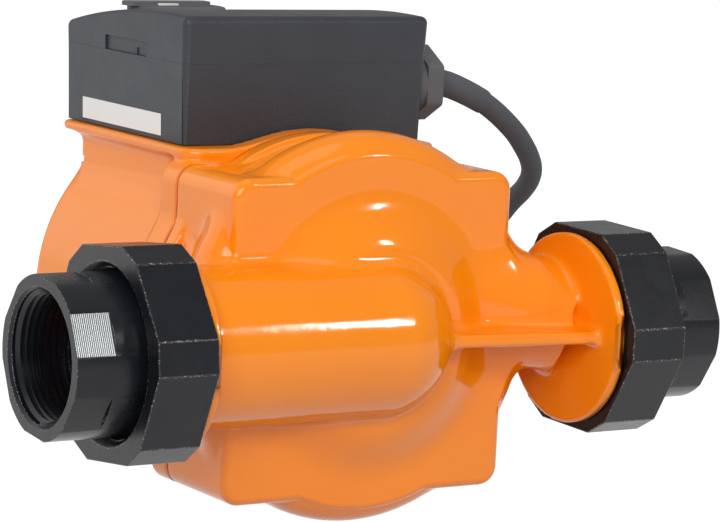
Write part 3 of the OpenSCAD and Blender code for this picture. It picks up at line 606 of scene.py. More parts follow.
def rounded_square(u: np.ndarray, v: np.ndarray, half_u: float, half_v: float, radius: float) -> np.ndarray:
    """Distances from a rectangle with round corners about the origin.

    Args:
        u: Places on the first axis.
        v: Places on the second axis.
        half_u: Half its size on the first axis.
        half_v: Half its size on the second axis.
        radius: Radius of its corners.

    Returns:
        The distances.
    """
    du = np.abs(u) - (half_u - radius)
    dv = np.abs(v) - (half_v - radius)
    return np.hypot(np.maximum(du, 0), np.maximum(dv, 0)) + np.minimum(np.maximum(du, dv), 0) - radius


def polygon(u: np.ndarray, v: np.ndarray, corners: tuple[Pair, ...]) -> np.ndarray:
    """Distances from a polygon that bulges nowhere inwards.

    Args:
        u: Places on the first axis.
        v: Places on the second axis.
        corners: Its corners, in order against the clock.

    Returns:
        The distances.
    """
    found = None
    for i, (u0, v0) in enumerate(corners):
        u1, v1 = corners[(i + 1) % len(corners)]
        length = math.hypot(u1 - u0, v1 - v0)
        side = ((v1 - v0) * (u - u0) - (u1 - u0) * (v - v0)) / length
        found = side if found is None else np.maximum(found, side)
    return found


def modified(mesh: Mesh, kind: str, inputs: dict[str, object] | None = None, **settings: object) -> Mesh:
    """A copy of a mesh as one modifier leaves it.

    Args:
        mesh: The mesh.
        kind: The modifier's type.
        inputs: Values of a node tree's inputs, by socket identifier.
        settings: The modifier's settings, by name.

    Returns:
        The new mesh.
    """
    carrier = bpy.data.objects.new("carrier", mesh)
    bpy.context.scene.collection.objects.link(carrier)
    modifier = carrier.modifiers.new(kind.lower(), kind)
    for setting, value in settings.items():
        setattr(modifier, setting, value)
    for socket, value in (inputs or {}).items():
        modifier[socket] = value
    bpy.context.view_layer.update()
    seen = carrier.evaluated_get(bpy.context.evaluated_depsgraph_get())
    result = bpy.data.meshes.new_from_object(seen)
    carrier.modifiers.clear()
    bpy.data.objects.remove(carrier)
    return result


def evened(mesh: Mesh) -> Mesh:
    """A copy of a mesh whose large faces shade flat and whose narrow roundings carry the turn."""
    return modified(mesh, "WEIGHTED_NORMAL", keep_sharp=True, weight=100)


def bevel(work: bmesh.types.BMesh, edges: list[bmesh.types.BMEdge], width_mm: float, segments: int,
          clamp: bool = True, material: int = -1) -> None:
    """Rounds edges.

    Args:
        work: The mesh that is changed.
        edges: Its edges that are rounded.
        width_mm: Width of the rounding.
        segments: Steps across it.
        clamp: Whether the width gives way where edges are near each other.
        material: The material of the new faces, or -1 for that of their neighbours.
    """
    bmesh.ops.bevel(work, geom=edges, offset=width_mm * MM, offset_type="OFFSET", segments=segments,
                    profile=0.5, affect="EDGES", clamp_overlap=clamp, material=material, loop_slide=True)


def top_rim(work: bmesh.types.BMesh, node: str) -> list[bmesh.types.BMEdge]:
    """Finds the edges of a solid's top along its front and sides.

    Args:
        work: The solid's mesh.
        node: The solid's node.

    Returns:
        The edges.
    """
    low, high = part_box(node)
    rim = []
    for edge in work.edges:
        if len(edge.link_faces) != 2 or edge.calc_face_angle(0.0) < math.radians(RIM_ANGLE):
            continue
        faces_up = max(face.normal.z for face in edge.link_faces) > 0.7
        outer = all(min(v.co.x - low.x, high.x - v.co.x, v.co.y - low.y) < RIM_REACH for v in edge.verts)
        if faces_up and outer and edge.verts[0].co.z > low.z + RIM_HEIGHT:
            rim.append(edge)
    LOG.info("%s: %d edges in its rim", node, len(rim))
    return rim


def softened(node: str, width_mm: float, limit: float = 30.0, segments: int = 2,
             rim_mm: float = 0.0) -> Mesh:
    """A copy of a solid's mesh with its sharp edges rounded.

    Args:
        node: The solid's node.
        width_mm: Width of the rounding.
        limit: Edges sharper than this angle in degrees are rounded.
        segments: Steps across each rounding.
        rim_mm: Width of a larger rounding, made first, along the outer rim of the top.

    Returns:
        The new mesh, with the roundings in its second material.
    """
    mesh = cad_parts[node].data.copy()
    mesh.name = node + "_finished"
    mesh.materials.clear()
    work = bmesh.new()
    work.from_mesh(mesh)
    bmesh.ops.remove_doubles(work, verts=work.verts, dist=2e-6)
    bmesh.ops.dissolve_limit(work, angle_limit=math.radians(0.4), verts=work.verts, edges=work.edges)
    if rim_mm:
        bevel(work, top_rim(work, node), rim_mm, 5, False, 0)
    sharp = [edge for edge in work.edges
             if len(edge.link_faces) == 2 and edge.calc_face_angle(0.0) > math.radians(limit)]
    bevel(work, sharp, width_mm, segments, True, 1)
    work.to_mesh(mesh)
    work.free()
    shade(mesh)
    return mesh


def towards(azimuth: float, elevation: float) -> Vector:
    """The direction from the pump to a place round it, both angles in degrees."""
    a, e = math.radians(azimuth), math.radians(elevation)
    return Vector((math.sin(a) * math.cos(e), -math.cos(a) * math.cos(e), math.sin(e)))


@dataclass
class Studio:
    """Camera, lamps, floor and backdrop."""

    azimuth: float = -32.4
    elevation: float = 9.52
    roll: float = 2.64
    focal_px: float = 3342.0
    distance: float = 1.079
    frame_px: Pair = (720, 522)
    shift_px: Pair = (14.9, 77.4)
    surroundings: float = 0.42
    floor_half: float = 6.0
    floor_colour: float = 0.5
    floor_glow: float = 1.2
    floor_glow_share: float = 0.88

    def camera(self) -> None:
        """Sets the camera where the photograph was taken from."""
        roll = math.radians(self.roll)
        back = towards(self.azimuth, self.elevation)
        right = (-back).cross(Vector((0, 0, 1))).normalized()
        up = right.cross(-back)
        turned_right = right * math.cos(roll) + up * math.sin(roll)
        turned_up = up * math.cos(roll) - right * math.sin(roll)
        data = bpy.data.cameras.new("photo_camera")
        data.sensor_width = 36.0
        data.lens = self.focal_px / self.frame_px[0] * data.sensor_width
        data.shift_x = -self.shift_px[0] / self.frame_px[0]
        data.shift_y = self.shift_px[1] / self.frame_px[0]
        camera = bpy.data.objects.new("photo_camera", data)
        bpy.context.scene.collection.objects.link(camera)
        axes = Matrix((turned_right, turned_up, back)).transposed().to_4x4()
        camera.matrix_world = Matrix.Translation(CENTRE + back * self.distance) @ axes
        bpy.context.scene.camera = camera

    @staticmethod
    def lamp(name: str, azimuth: float, elevation: float, distance: float, size: Pair, glow: float) -> None:
        """Hangs a soft lamp that looks at the pump.

        Args:
            name: The lamp's name.
            azimuth: Its place round the pump in degrees.
            elevation: Its height angle in degrees.
            distance: Its distance in metres.
            size: Its width and height in metres.
            glow: How bright its face is, where 1 is white.
        """
        back = towards(azimuth, elevation)
        data = bpy.data.lights.new(name, "AREA")
        data.shape = "RECTANGLE"
        data.size, data.size_y = size
        data.energy = math.pi * glow * size[0] * size[1]
        lamp = bpy.data.objects.new(name, data)
        bpy.context.scene.collection.objects.link(lamp)
        lamp.location = CENTRE + back * distance
        lamp.rotation_euler = (-back).to_track_quat("-Z", "Y").to_euler()

    def world(self) -> None:
        """Makes the surroundings one plain pale grey."""
        world = bpy.data.worlds.new("studio")
        world.use_nodes = True
        bpy.context.scene.world = world
        background = world.node_tree.nodes["Background"]
        background.inputs["Color"].default_value = (1, 1, 1, 1)
        background.inputs["Strength"].default_value = self.surroundings

    def floor(self) -> None:
        """Lays a floor that looks white and keeps the pump's shadow."""
        mesh = bpy.data.meshes.new("floor")
        half = self.floor_half
        corners = [(-half, -half, 0), (half, -half, 0), (half, half, 0), (-half, half, 0)]
        mesh.from_pydata(corners, [], [(0, 1, 2, 3)])
        floor = bpy.data.objects.new("floor", mesh)
        bpy.context.scene.collection.objects.link(floor)
        material = bpy.data.materials.new("floor_white")
        material.use_nodes = True
        tree = material.node_tree
        shader = tree.nodes["Principled BSDF"]
        shader.inputs["Base Color"].default_value = (*[self.floor_colour] * 3, 1)
        shader.inputs["Roughness"].default_value = 0.9
        shader.inputs["Specular IOR Level"].default_value = 0.1
        glow = tree.nodes.new("ShaderNodeEmission")
        glow.inputs["Strength"].default_value = self.floor_glow
        path = tree.nodes.new("ShaderNodeLightPath")
        seen = path.outputs["Is Camera Ray"]
        for ray in ("Is Glossy Ray", "Is Transmission Ray"):
            either = tree.nodes.new("ShaderNodeMath")
            either.operation = "MAXIMUM"
            tree.links.new(seen, either.inputs[0])
            tree.links.new(path.outputs[ray], either.inputs[1])
            seen = either.outputs[0]
        share = tree.nodes.new("ShaderNodeMath")
        share.operation = "MULTIPLY"
        share.inputs[1].default_value = self.floor_glow_share
        mix = tree.nodes.new("ShaderNodeMixShader")
        tree.links.new(seen, share.inputs[0])
        tree.links.new(share.outputs[0], mix.inputs[0])
        tree.links.new(shader.outputs[0], mix.inputs[1])
        tree.links.new(glow.outputs[0], mix.inputs[2])
        tree.links.new(mix.outputs[0], tree.nodes["Material Output"].inputs["Surface"])
        mesh.materials.append(material)

    def build(self) -> None:
        """Sets the whole studio up."""
        self.camera()
        self.world()
        self.floor()
        self.lamp("key", 35.5, 27.0, 1.5, (0.07, 0.2), 60.0)
        self.lamp("backdrop", -135.0, 25.0, 2.2, (2.4, 2.0), 0.9)
        self.lamp("fill", -36.0, 26.0, 2.0, (1.5, 1.0), 5.0)
        self.lamp("top", -10.0, 82.0, 1.6, (1.0, 1.0), 0.9)
        bpy.context.scene.view_settings.view_transform = "Standard"


@dataclass
class Lead:
    """The mains lead with its strain relief, coil, tie and plug."""

    radius: float = 3.9
    skin: float = 0.06
    coil_centre: Pair = (74.0, 214.0)
    coil_radius: float = 52.0
    coil_gap: float = 0.5
    turns: float = 4.375
    steps_per_turn: int = 24
    tie_thickness: float = 0.8
    plug_radius: float = 18.4
    rise_angle: float = 60.0
    relief_root: float = 4.9
    relief_tip: float = 4.3
    inside: int = 3
    relief_end: int = 8
    sides: int = 20
    relief_sides: int = 28
    route: tuple[Triple, ...] = (
        (34, 64, 76), (42, 64, 76), (50.5, 64, 76), (57.5, 64, 76), (60.5, 64, 75.87), (63.5, 64, 75.45),
        (67, 64, 74.6), (74.5, 64.6, 71.8), (81.5, 66, 68.8), (88.5, 68, 65), (95.5, 71.2, 60.9),
        (103, 75.5, 56.3), (110.5, 81, 51.1), (117.8, 87.5, 46), (124.5, 95, 40.6), (129.6, 103.5, 35.4),
        (132.7, 112, 30.4), (133.8, 120.5, 25), (133.7, 128.5, 17.5), (133.3, 135.5, 8.5),
        (132.7, 141.3, -1.5), (132, 146.5, -12), (131.2, 151.8, -22.5), (130.2, 157.5, -32.5),
        (129.2, 164.5, -42), (128.1, 172.5, -49.6), (127, 181, -54.9), (126.3, 189.8, -57.5),
        (126, 198.4, -58.1))

    def coil_point(self, angle: float) -> Triple:
        """A point on the coil's centre line.

        Args:
            angle: Angle from the coil's start in degrees.

        Returns:
            The point in millimetres about the pump's centre.
        """
        whole = 360 * self.turns
        pitch = 2 * self.radius + self.coil_gap
        stand = CENTRE.z / MM
        floor = self.tie_thickness + self.radius - stand
        radius = self.coil_radius - pitch * min(angle, whole - angle) / 360
        climb = min(max((angle - whole / 2 + 90) / 180, 0), 1)
        rise = min(max((angle - whole + self.rise_angle) / self.rise_angle, 0), 1)
        lift = self.plug_radius - self.tie_thickness - self.radius - pitch
        height = floor + pitch * (1 - math.cos(math.pi * climb)) / 2
        height += lift * (1 - math.cos(math.pi * rise)) / 2
        turn = math.radians(angle)
        x, y = self.coil_centre
        return (x + radius * math.cos(turn), y + radius * math.sin(turn), height)

    def centre_line(self) -> list[Vector]:
        """The lead's whole centre line from inside the box to the plug, in the row frame."""
        whole = 360 * self.turns
        steps = round(self.steps_per_turn * self.turns)
        coil = [self.coil_point(whole * i / steps) for i in range(steps + 1)]
        start = (coil[0][0], coil[0][1] - 2 * self.radius, coil[0][2])
        out = (-math.sin(math.radians(whole)), math.cos(math.radians(whole)))
        end = (coil[-1][0] + 2 * self.radius * out[0], coil[-1][1] + 2 * self.radius * out[1], coil[-1][2])
        return [place(*p) for p in (*self.route, start, *coil, end)]

    @staticmethod
    def smoothed(points: list[Vector], parts: int) -> list[Vector]:
        """Rounds a line of points off without leaving them.

        Args:
            points: The line's points.
            parts: How many stretches each gap is split into.

        Returns:
            The finer line.
        """
        fine = []
        last = len(points) - 1
        for i in range(last):
            before, a, b, after = (points[max(0, min(last, k))] for k in (i - 1, i, i + 1, i + 2))
            for k in range(parts):
                t = k / parts
                fine.append(0.5 * (2 * a + (b - before) * t + (2 * before - 5 * a + 4 * b - after) * t * t
                                   + (3 * a - before - 3 * b + after) * t ** 3))
        return [*fine, points[-1]]

    def tube(self, name: str, points: list[Vector], radii: list[float], sides: int) -> Mesh:
        """A closed round tube along a line.

        Args:
            name: The mesh's name.
            points: The tube's centre line in the row frame.
            radii: Its radius at each point in millimetres.
            sides: Its number of sides.

        Returns:
            The mesh.
        """
        verts, faces = [], []
        last = len(points) - 1
        side = Vector((0, 0, 1))
        for i, p in enumerate(points):
            way = (points[min(i + 1, last)] - points[max(i - 1, 0)]).normalized()
            side = (side - way * side.dot(way)).normalized()
            up = way.cross(side)
            for k in range(sides):
                a = 2 * math.pi * k / sides
                verts.append(p + (side * math.cos(a) + up * math.sin(a)) * radii[i] * MM)
        for i in range(last):
            for k in range(sides):
                a, b = i * sides + k, i * sides + (k + 1) % sides
                faces.append((a, b, b + sides, a + sides))
        faces.append(tuple(range(sides))[::-1])
        faces.append(tuple(last * sides + k for k in range(sides)))
        mesh = bpy.data.meshes.new(name)
        mesh.from_pydata(verts, [], faces)
        shade(mesh, 50.0)
        return mesh

    def hose(self, name: str, points: list[Vector], radii: list[float], sides: int, *nodes: str) -> Piece:
        """Makes a rubber tube that rides on the pump.

        Args:
            name: The piece's name.
            points: Its centre line in the row frame.
            radii: Its radius at each point in millimetres.
            sides: Its number of sides.
            nodes: The solids that it stands for.

        Returns:
            The piece.
        """
        piece = new_object(name, self.tube(name, points, radii, sides), LEAD_RUBBER)
        return adopt(piece, Body.PUMP, "lead_rubber", *nodes)

    def build(self) -> None:
        """Makes the lead and all that is on it."""
        line = self.centre_line()
        run, head = line[self.inside:], line[:self.inside + 1]
        path = self.smoothed(run, 3)
        radii = [self.radius - self.skin] * len(path)
        lead = self.hose("mains_lead_run", path, radii, self.sides, "mains_lead", "lead_coil")
        self.hose("lead_inside", head, [self.radius] * len(head), self.sides)
        sleeve = self.smoothed(line[self.inside:self.relief_end + 1], 4)
        taper = (self.relief_tip - self.relief_root) / (len(sleeve) - 1)
        radii = [self.relief_root + taper * i for i in range(len(sleeve))]
        self.hose("strain_relief_sleeve", sleeve, radii, self.relief_sides, "strain_relief")
        plug = new_object("mains_plug_body", softened("mains_plug", 1.2, 25.0, 3), LEAD_RUBBER, LEAD_RUBBER)
        adopt(plug, Body.PUMP, "lead_rubber", "mains_plug")


@dataclass
class Casing:
    """The orange volute casing."""

    step: float = 0.8
    most_faces: int = 190000
    block_half: float = 52.7
    block_corner: float = 6.5
    block_front: float = 2.0
    joint: float = 40.0
    block_edge: float = 3.0
    volute: float = 64.4
    volute_edge: float = 11.0
    volute_rise: float = 1.7
    land: float = 58.9
    land_back: float = 37.0
    rim: float = 62.8
    rim_depth: float = 6.0
    channel: float = 25.5
    channel_end: float = 1.0
    dome: float = 41.0
    dome_height: float = 7.0
    neck_near: Triple = (36.0, 24.6, 12.0)
    neck_far: Triple = (77.2, 5.8, 1.9)
    neck_radii: Pair = (20.0, 18.5)
    neck_bore: float = 12.5
    bore_edge: float = 1.0
    port_edge: float = 0.6
    web_half: float = 2.1
    web_outline: tuple[Pair, ...] = ((16.5, 6.0), (16.5, -14.0), (75.5, -22.5), (75.5, 6.0))
    web_edge: float = 1.2
    web_fillet: float = 4.0
    gusset_outline: tuple[Pair, ...] = ((6.0, 0.0), (-10.0, 0.0), (6.0, -12.0))
    gusset_span: Pair = (16.5, 25.5)
    gusset_edge: float = 1.0
    gusset_fillet: float = 3.0
    collar: float = 31.9
    collar_span: Pair = (73.7, 77.2)
    stub: float = 29.75
    port: float = 90.0
    port_bore: float = 16.0
    channel_bore: float = 15.5
    eye: float = 15.0
    chamber_front: float = 19.5
    plate_front: float = 36.0
    spigot: float = 50.4
    chamber: float = 49.0
    growth: float = 8.0
    tongue: float = -14.0
    ring_recess: float = 20.65
    ring_depth: float = 4.6
    ring_fillet: float = 3.5
    flat_margin: float = 1.5
    flat_reach: float = 5.0
    land_edge: float = 2.0
    land_fillet: float = 4.0
    rim_edge: float = 0.8
    rim_fillet: float = 2.0
    collar_edge: float = 0.9
    collar_fillet: float = 3.0
    stub_edge: float = 0.8
    overlap: float = 4.0
    dome_fillet: float = 11.0
    dome_edge: float = 5.5
    ridge_fillet: float = 4.0
    neck_fillet: float = 7.0
    screw_place: Pair = (41.0, 45.0)
    screw_hole: float = 2.55
    screw_depth: float = 14.0

    def outside(self, s: Solid) -> None:
        """Builds the casting's outer form, with its front and its joint face kept flat.

        Args:
            s: The solid that is built up.
        """
        square = rounded_square(s.x, s.z, self.block_half, self.block_half, self.block_corner)
        s.add(extrude(square, s.y, self.block_front, self.joint + 2 * self.block_edge, self.block_edge))
        inward = np.clip((s.y - self.block_front - self.flat_margin) / self.flat_reach, 0, 1)
        front, rise = self.block_front, (0.0, self.volute_rise)
        ring = s.disc("y", self.volute, front, front + 2 * self.volute_edge, self.volute_edge, rise)
        land = s.disc("y", self.land, front, self.land_back, self.land_edge, rise)
        s.add(join(ring, land, self.land_fillet * inward), self.ring_fillet * inward)
        rim = s.disc("y", self.rim, self.joint - self.rim_depth, self.joint + self.overlap, self.rim_edge)
        s.add(rim, self.rim_fillet * inward)
        s.add(s.disc("y", self.dome - self.dome_height, front - self.dome_height, front + self.overlap,
                     self.dome_edge, end_radius=self.dome), self.dome_fillet)
        ridge = s.disc("x", self.channel, -self.collar_span[1], -self.channel_end)
        end = np.sqrt((s.x + self.channel_end) ** 2 + s.y ** 2 + s.z ** 2) - self.channel
        s.add(np.minimum(ridge, end), self.ridge_fillet)
        s.add(s.cone(self.neck_near, self.neck_far, *self.neck_radii), self.neck_fillet)
        s.cut(self.joint - s.y)
        web = extrude(polygon(s.x, s.y, self.web_outline), s.z, -self.web_half, self.web_half, self.web_edge)
        s.add(web, self.web_fillet)
        gusset = extrude(polygon(s.y, s.z, self.gusset_outline), s.x, *self.gusset_span, self.gusset_edge)
        s.add(gusset, self.gusset_fillet)
        for side in (-1, 1):
            near, far = sorted((side * self.collar_span[0], side * self.collar_span[1]))
            s.add(s.disc("x", self.collar, near, far, self.collar_edge), self.collar_fillet)
            near, far = sorted((side * self.collar_span[0], side * self.port))
            s.add(s.disc("x", self.stub, near, far, self.stub_edge))

    def waterways(self, s: Solid) -> None:
        """Opens the casting's water channels.

        Args:
            s: The solid that is cut.
        """
        s.cut(s.disc("x", self.port_bore, -self.port - 2, self.port_bore - self.port))
        s.cut(s.disc("x", self.channel_bore, -self.port, -self.channel_end))
        bend = np.sqrt((s.x + self.channel_end) ** 2 + s.y ** 2 + s.z ** 2)
        s.cut(bend - self.channel_bore, self.bore_edge)
        s.cut(s.disc("y", self.eye, 0.0, self.chamber_front + 1))
        s.cut(s.disc("y", self.ring_recess, self.chamber_front - self.ring_depth, self.chamber_front + 1))
        angle = np.degrees(np.arctan2(-s.z, s.x)) - self.tongue
        share = np.mod(angle, 360.0) / 360.0
        spiral = np.hypot(s.x, s.z) - (self.chamber + self.growth * share)
        s.cut(extrude(spiral, s.y, self.chamber_front, self.plate_front + 1, 0.0))
        s.cut(s.disc("y", self.spigot, self.plate_front, self.joint + 3))
        s.cut(s.cone(self.neck_near, self.neck_far, self.neck_bore, self.neck_bore), self.bore_edge)
        s.cut(s.disc("x", self.port_bore, self.collar_span[0] + 2, self.port + 2), self.port_edge)
        for x in (-self.screw_place[0], self.screw_place[0]):
            for z in (-self.screw_place[1], self.screw_place[1]):
                start = self.joint - self.screw_depth
                s.cut(s.disc("y", self.screw_hole, start, self.joint + 3, centre=(x, z)))

    def build(self) -> None:
        """Makes the casing."""
        s = Solid((-93, -30, -66), (93, 43, 69), self.step)
        self.outside(s)
        self.waterways(s)
        piece = new_object("pump_casing_cast", s.mesh("pump_casing_cast", self.most_faces), ENAMEL_CAST)
        adopt(piece, Body.PUMP, "orange_enamel_casting", "pump_casing")


@dataclass
class MotorShell:
    """The orange motor shell with its flange and the platform of the terminal box."""

    step: float = 0.8
    most_faces: int = 190000
    front: float = 40.8
    flange: float = 11.0
    half: float = 52.7
    corner: float = 6.5
    rim: float = 62.8
    barrel: Pair = (62.0, 60.3)
    barrel_back: float = 128.0
    cap: float = 5.0
    platform_top: float = 57.4
    platform_half: float = 49.0
    platform_corner: float = 8.0
    platform_depth: float = 3.0
    platform_edge: float = 1.3
    plate_fillet: float = 4.0
    flange_edge: float = 1.2
    barrel_fillet: float = 3.0
    rim_fillet: float = 2.0
    overlap: float = 4.0
    platform_back: float = 134.7
    pedestal_half: float = 46.0
    pedestal: Pair = (54.0, 124.0)
    pedestal_corner: float = 5.0
    pedestal_edge: float = 1.0
    pedestal_root: float = 20.0
    flat_from: float = 47.9
    spigot: float = 50.4
    can_seat: float = 43.0
    stator_bore: float = 54.35
    stator_end: float = 118.3
    vent_bore: float = 11.55
    screw_place: Pair = (41.0, 45.0)
    screw_hole: float = 2.8
    pocket: float = 4.3
    pocket_depth: float = 9.0

    def build(self) -> None:
        """Makes the motor shell."""
        s = Solid((-66, 38, -66), (66, 137, 66), self.step)
        back = self.front + self.flange
        square = rounded_square(s.x, s.z, self.half, self.half, self.corner)
        outline = join(square, s.across("y") - self.rim, self.rim_fillet)
        s.add(extrude(outline, s.y, self.front - self.overlap, back, self.flange_edge))
        barrel = s.disc("y", self.barrel[0], back - 2, self.barrel_back, self.cap, end_radius=self.barrel[1])
        s.add(barrel, self.barrel_fillet)
        middle = (self.pedestal[0] + self.pedestal[1]) / 2
        deep = (self.pedestal[1] - self.pedestal[0]) / 2
        pedestal = rounded_square(s.x, s.y - middle, self.pedestal_half, deep, self.pedestal_corner)
        pedestal = extrude(pedestal, s.z, self.pedestal_root, self.platform_top - 1, self.pedestal_edge)
        s.add(pedestal, self.plate_fillet)
        middle = (self.front + self.platform_back) / 2
        deep = (self.platform_back - self.front) / 2
        plate = rounded_square(s.x, s.y - middle, self.platform_half, deep, self.platform_corner)
        low = self.platform_top - self.platform_depth
        s.add(extrude(plate, s.z, low, self.platform_top, self.platform_edge), self.plate_fillet)
        s.cut(s.y - self.front)
        s.cut(np.maximum(self.flat_from - s.y, self.platform_top - s.z))
        s.cut(s.disc("y", self.spigot, self.front - 3, self.can_seat))
        s.cut(s.disc("y", self.stator_bore, self.can_seat - 0.5, self.stator_end))
        s.cut(s.disc("y", self.vent_bore, self.stator_end - 1.3, self.barrel_back + 3))
        for x in (-self.screw_place[0], self.screw_place[0]):
            for z in (-self.screw_place[1], self.screw_place[1]):
                end = self.barrel_back + 1 if z > 0 else back + self.pocket_depth
                s.cut(s.disc("y", self.screw_hole, self.front - 3, back + 3, centre=(x, z)))
                s.cut(s.disc("y", self.pocket, back, end, centre=(x, z)))
        piece = new_object("motor_shell_cast", s.mesh("motor_shell_cast", self.most_faces), ENAMEL_SHELL)
        adopt(piece, Body.PUMP, "orange_enamel_shell", "motor_housing")


class ThreadTree:
    """Geometry nodes that sweep a thread ridge along a spiral."""

    def __init__(self) -> None:
        """Builds the node tree."""
        self.tree = bpy.data.node_groups.new("thread_ridge", "GeometryNodeTree")
        face = self.tree.interface
        self.sockets = {}
        for name, kind, value in (("Radius", "NodeSocketFloat", 0.02), ("Pitch", "NodeSocketFloat", 0.0023),
                                  ("Turns", "NodeSocketFloat", 8.0), ("Ridge", "NodeSocketFloat", 0.001),
                                  ("Material", "NodeSocketMaterial", None)):
            item = face.new_socket(name, in_out="INPUT", socket_type=kind)
            if value is not None:
                item.default_value = value
            self.sockets[name] = item.identifier
        face.new_socket("Geometry", in_out="OUTPUT", socket_type="NodeSocketGeometry")
        nodes, links = self.tree.nodes, self.tree.links
        entry, leave = nodes.new("NodeGroupInput"), nodes.new("NodeGroupOutput")
        spiral = nodes.new("GeometryNodeCurveSpiral")
        spiral.inputs["Resolution"].default_value = 96
        height = nodes.new("ShaderNodeMath")
        height.operation = "MULTIPLY"
        profile = nodes.new("GeometryNodeCurvePrimitiveCircle")
        profile.inputs["Resolution"].default_value = 4
        sweep = nodes.new("GeometryNodeCurveToMesh")
        sweep.inputs["Fill Caps"].default_value = True
        paint, real = nodes.new("GeometryNodeSetMaterial"), nodes.new("GeometryNodeRealizeInstances")
        links.new(entry.outputs["Turns"], spiral.inputs["Rotations"])
        links.new(entry.outputs["Radius"], spiral.inputs["Start Radius"])
        links.new(entry.outputs["Radius"], spiral.inputs["End Radius"])
        links.new(entry.outputs["Turns"], height.inputs[0])
        links.new(entry.outputs["Pitch"], height.inputs[1])
        links.new(height.outputs[0], spiral.inputs["Height"])
        links.new(entry.outputs["Ridge"], profile.inputs["Radius"])
        links.new(spiral.outputs["Curve"], sweep.inputs["Curve"])
        links.new(profile.outputs["Curve"], sweep.inputs["Profile Curve"])
        links.new(sweep.outputs["Mesh"], real.inputs["Geometry"])
        links.new(real.outputs["Geometry"], paint.inputs["Geometry"])
        links.new(entry.outputs["Material"], paint.inputs["Material"])
        links.new(paint.outputs["Geometry"], leave.inputs["Geometry"])

    def make(self, name: str, turn: Matrix, values: dict[str, float], finish: Finish) -> Piece:
        """Makes one thread as a plain mesh in its place.

        Args:
            name: The piece's name.
            turn: Its place in the row frame.
            values: The tree's sizes in metres.
            finish: Its material.

        Returns:
            The piece.
        """
        inputs = {self.sockets[k]: v for k, v in values.items()}
        inputs[self.sockets["Material"]] = finish.build()
        mesh = modified(bpy.data.meshes.new(name + "_seed"), "NODES", inputs, node_group=self.tree)
        mesh.name = name
        mesh.transform(turn)
        work = bmesh.new()
        work.from_mesh(mesh)
        bmesh.ops.remove_doubles(work, verts=work.verts, dist=1e-7)
        bmesh.ops.recalc_face_normals(work, faces=work.faces)
        work.to_mesh(mesh)
        work.free()
        shade(mesh, 35.0)
        return new_object(name, mesh)


@dataclass
class Unions:
    """Union nuts, inserts and their threads."""

    thread_radius: float = 20.955
    thread_pitch: float = 2.309
    thread_turns: float = 7.6
    ridge: float = 1.25
    insert_end: float = 120.4
    nut_edge: float = 0.4
    insert_edge: float = 0.4
    thread_inset: float = 1.6

    @staticmethod
    def paint_flat_highlight(mesh: Mesh) -> None:
        """Paints the insert's upper front flat pale: a painted highlight on the flat that faces up and to
        the front.

        Args:
            mesh: The insert's mesh, whose third material is the flat's painted highlight.
        """
        for face in mesh.polygons:
            x, y, z = face.normal
            # Only faces turned up and to the front get the pale painted highlight.
            if face.area > FLAT_AREA and y < -0.5 and z > 0.2 and abs(x) < 0.1:
                face.material_index = 2

    def build(self) -> None:
        """Makes both unions."""
        threads = ThreadTree()
        for side, word, body in ((-1, "left", Body.NUT_LEFT), (1, "right", Body.NUT_RIGHT)):
            nut_mesh = evened(softened(f"union_nut_{word}", self.nut_edge, 12.0, 3))
            nut = new_object(f"union_nut_{word}_forged", nut_mesh, BLACK_IRON, WORN_EDGE)
            adopt(nut, body, "black_union", f"union_nut_{word}")
            insert_mesh = evened(softened(f"union_insert_{word}", self.insert_edge))
            insert = new_object(f"union_insert_{word}_turned", insert_mesh, BLACK_IRON, WORN_EDGE,
                                FLAT_HIGHLIGHT_PAINT)
            # The left insert's third material paints a highlight on its upper front flat.
            if side < 0:
                self.paint_flat_highlight(insert.data)
            adopt(insert, Body.PUMP, "black_union", f"union_insert_{word}")
            mouth = place(side * (self.insert_end - self.thread_inset), 0, 0)
            turn = Matrix.Translation(mouth) @ Matrix.Rotation(-side * math.pi / 2, 4, "Y")
            values = {"Radius": self.thread_radius * MM, "Pitch": self.thread_pitch * MM,
                      "Turns": self.thread_turns, "Ridge": self.ridge * MM}
            thread = threads.make(f"pipe_thread_{word}", turn, values, BLACK_IRON)
            adopt(thread, Body.PUMP, "black_union")


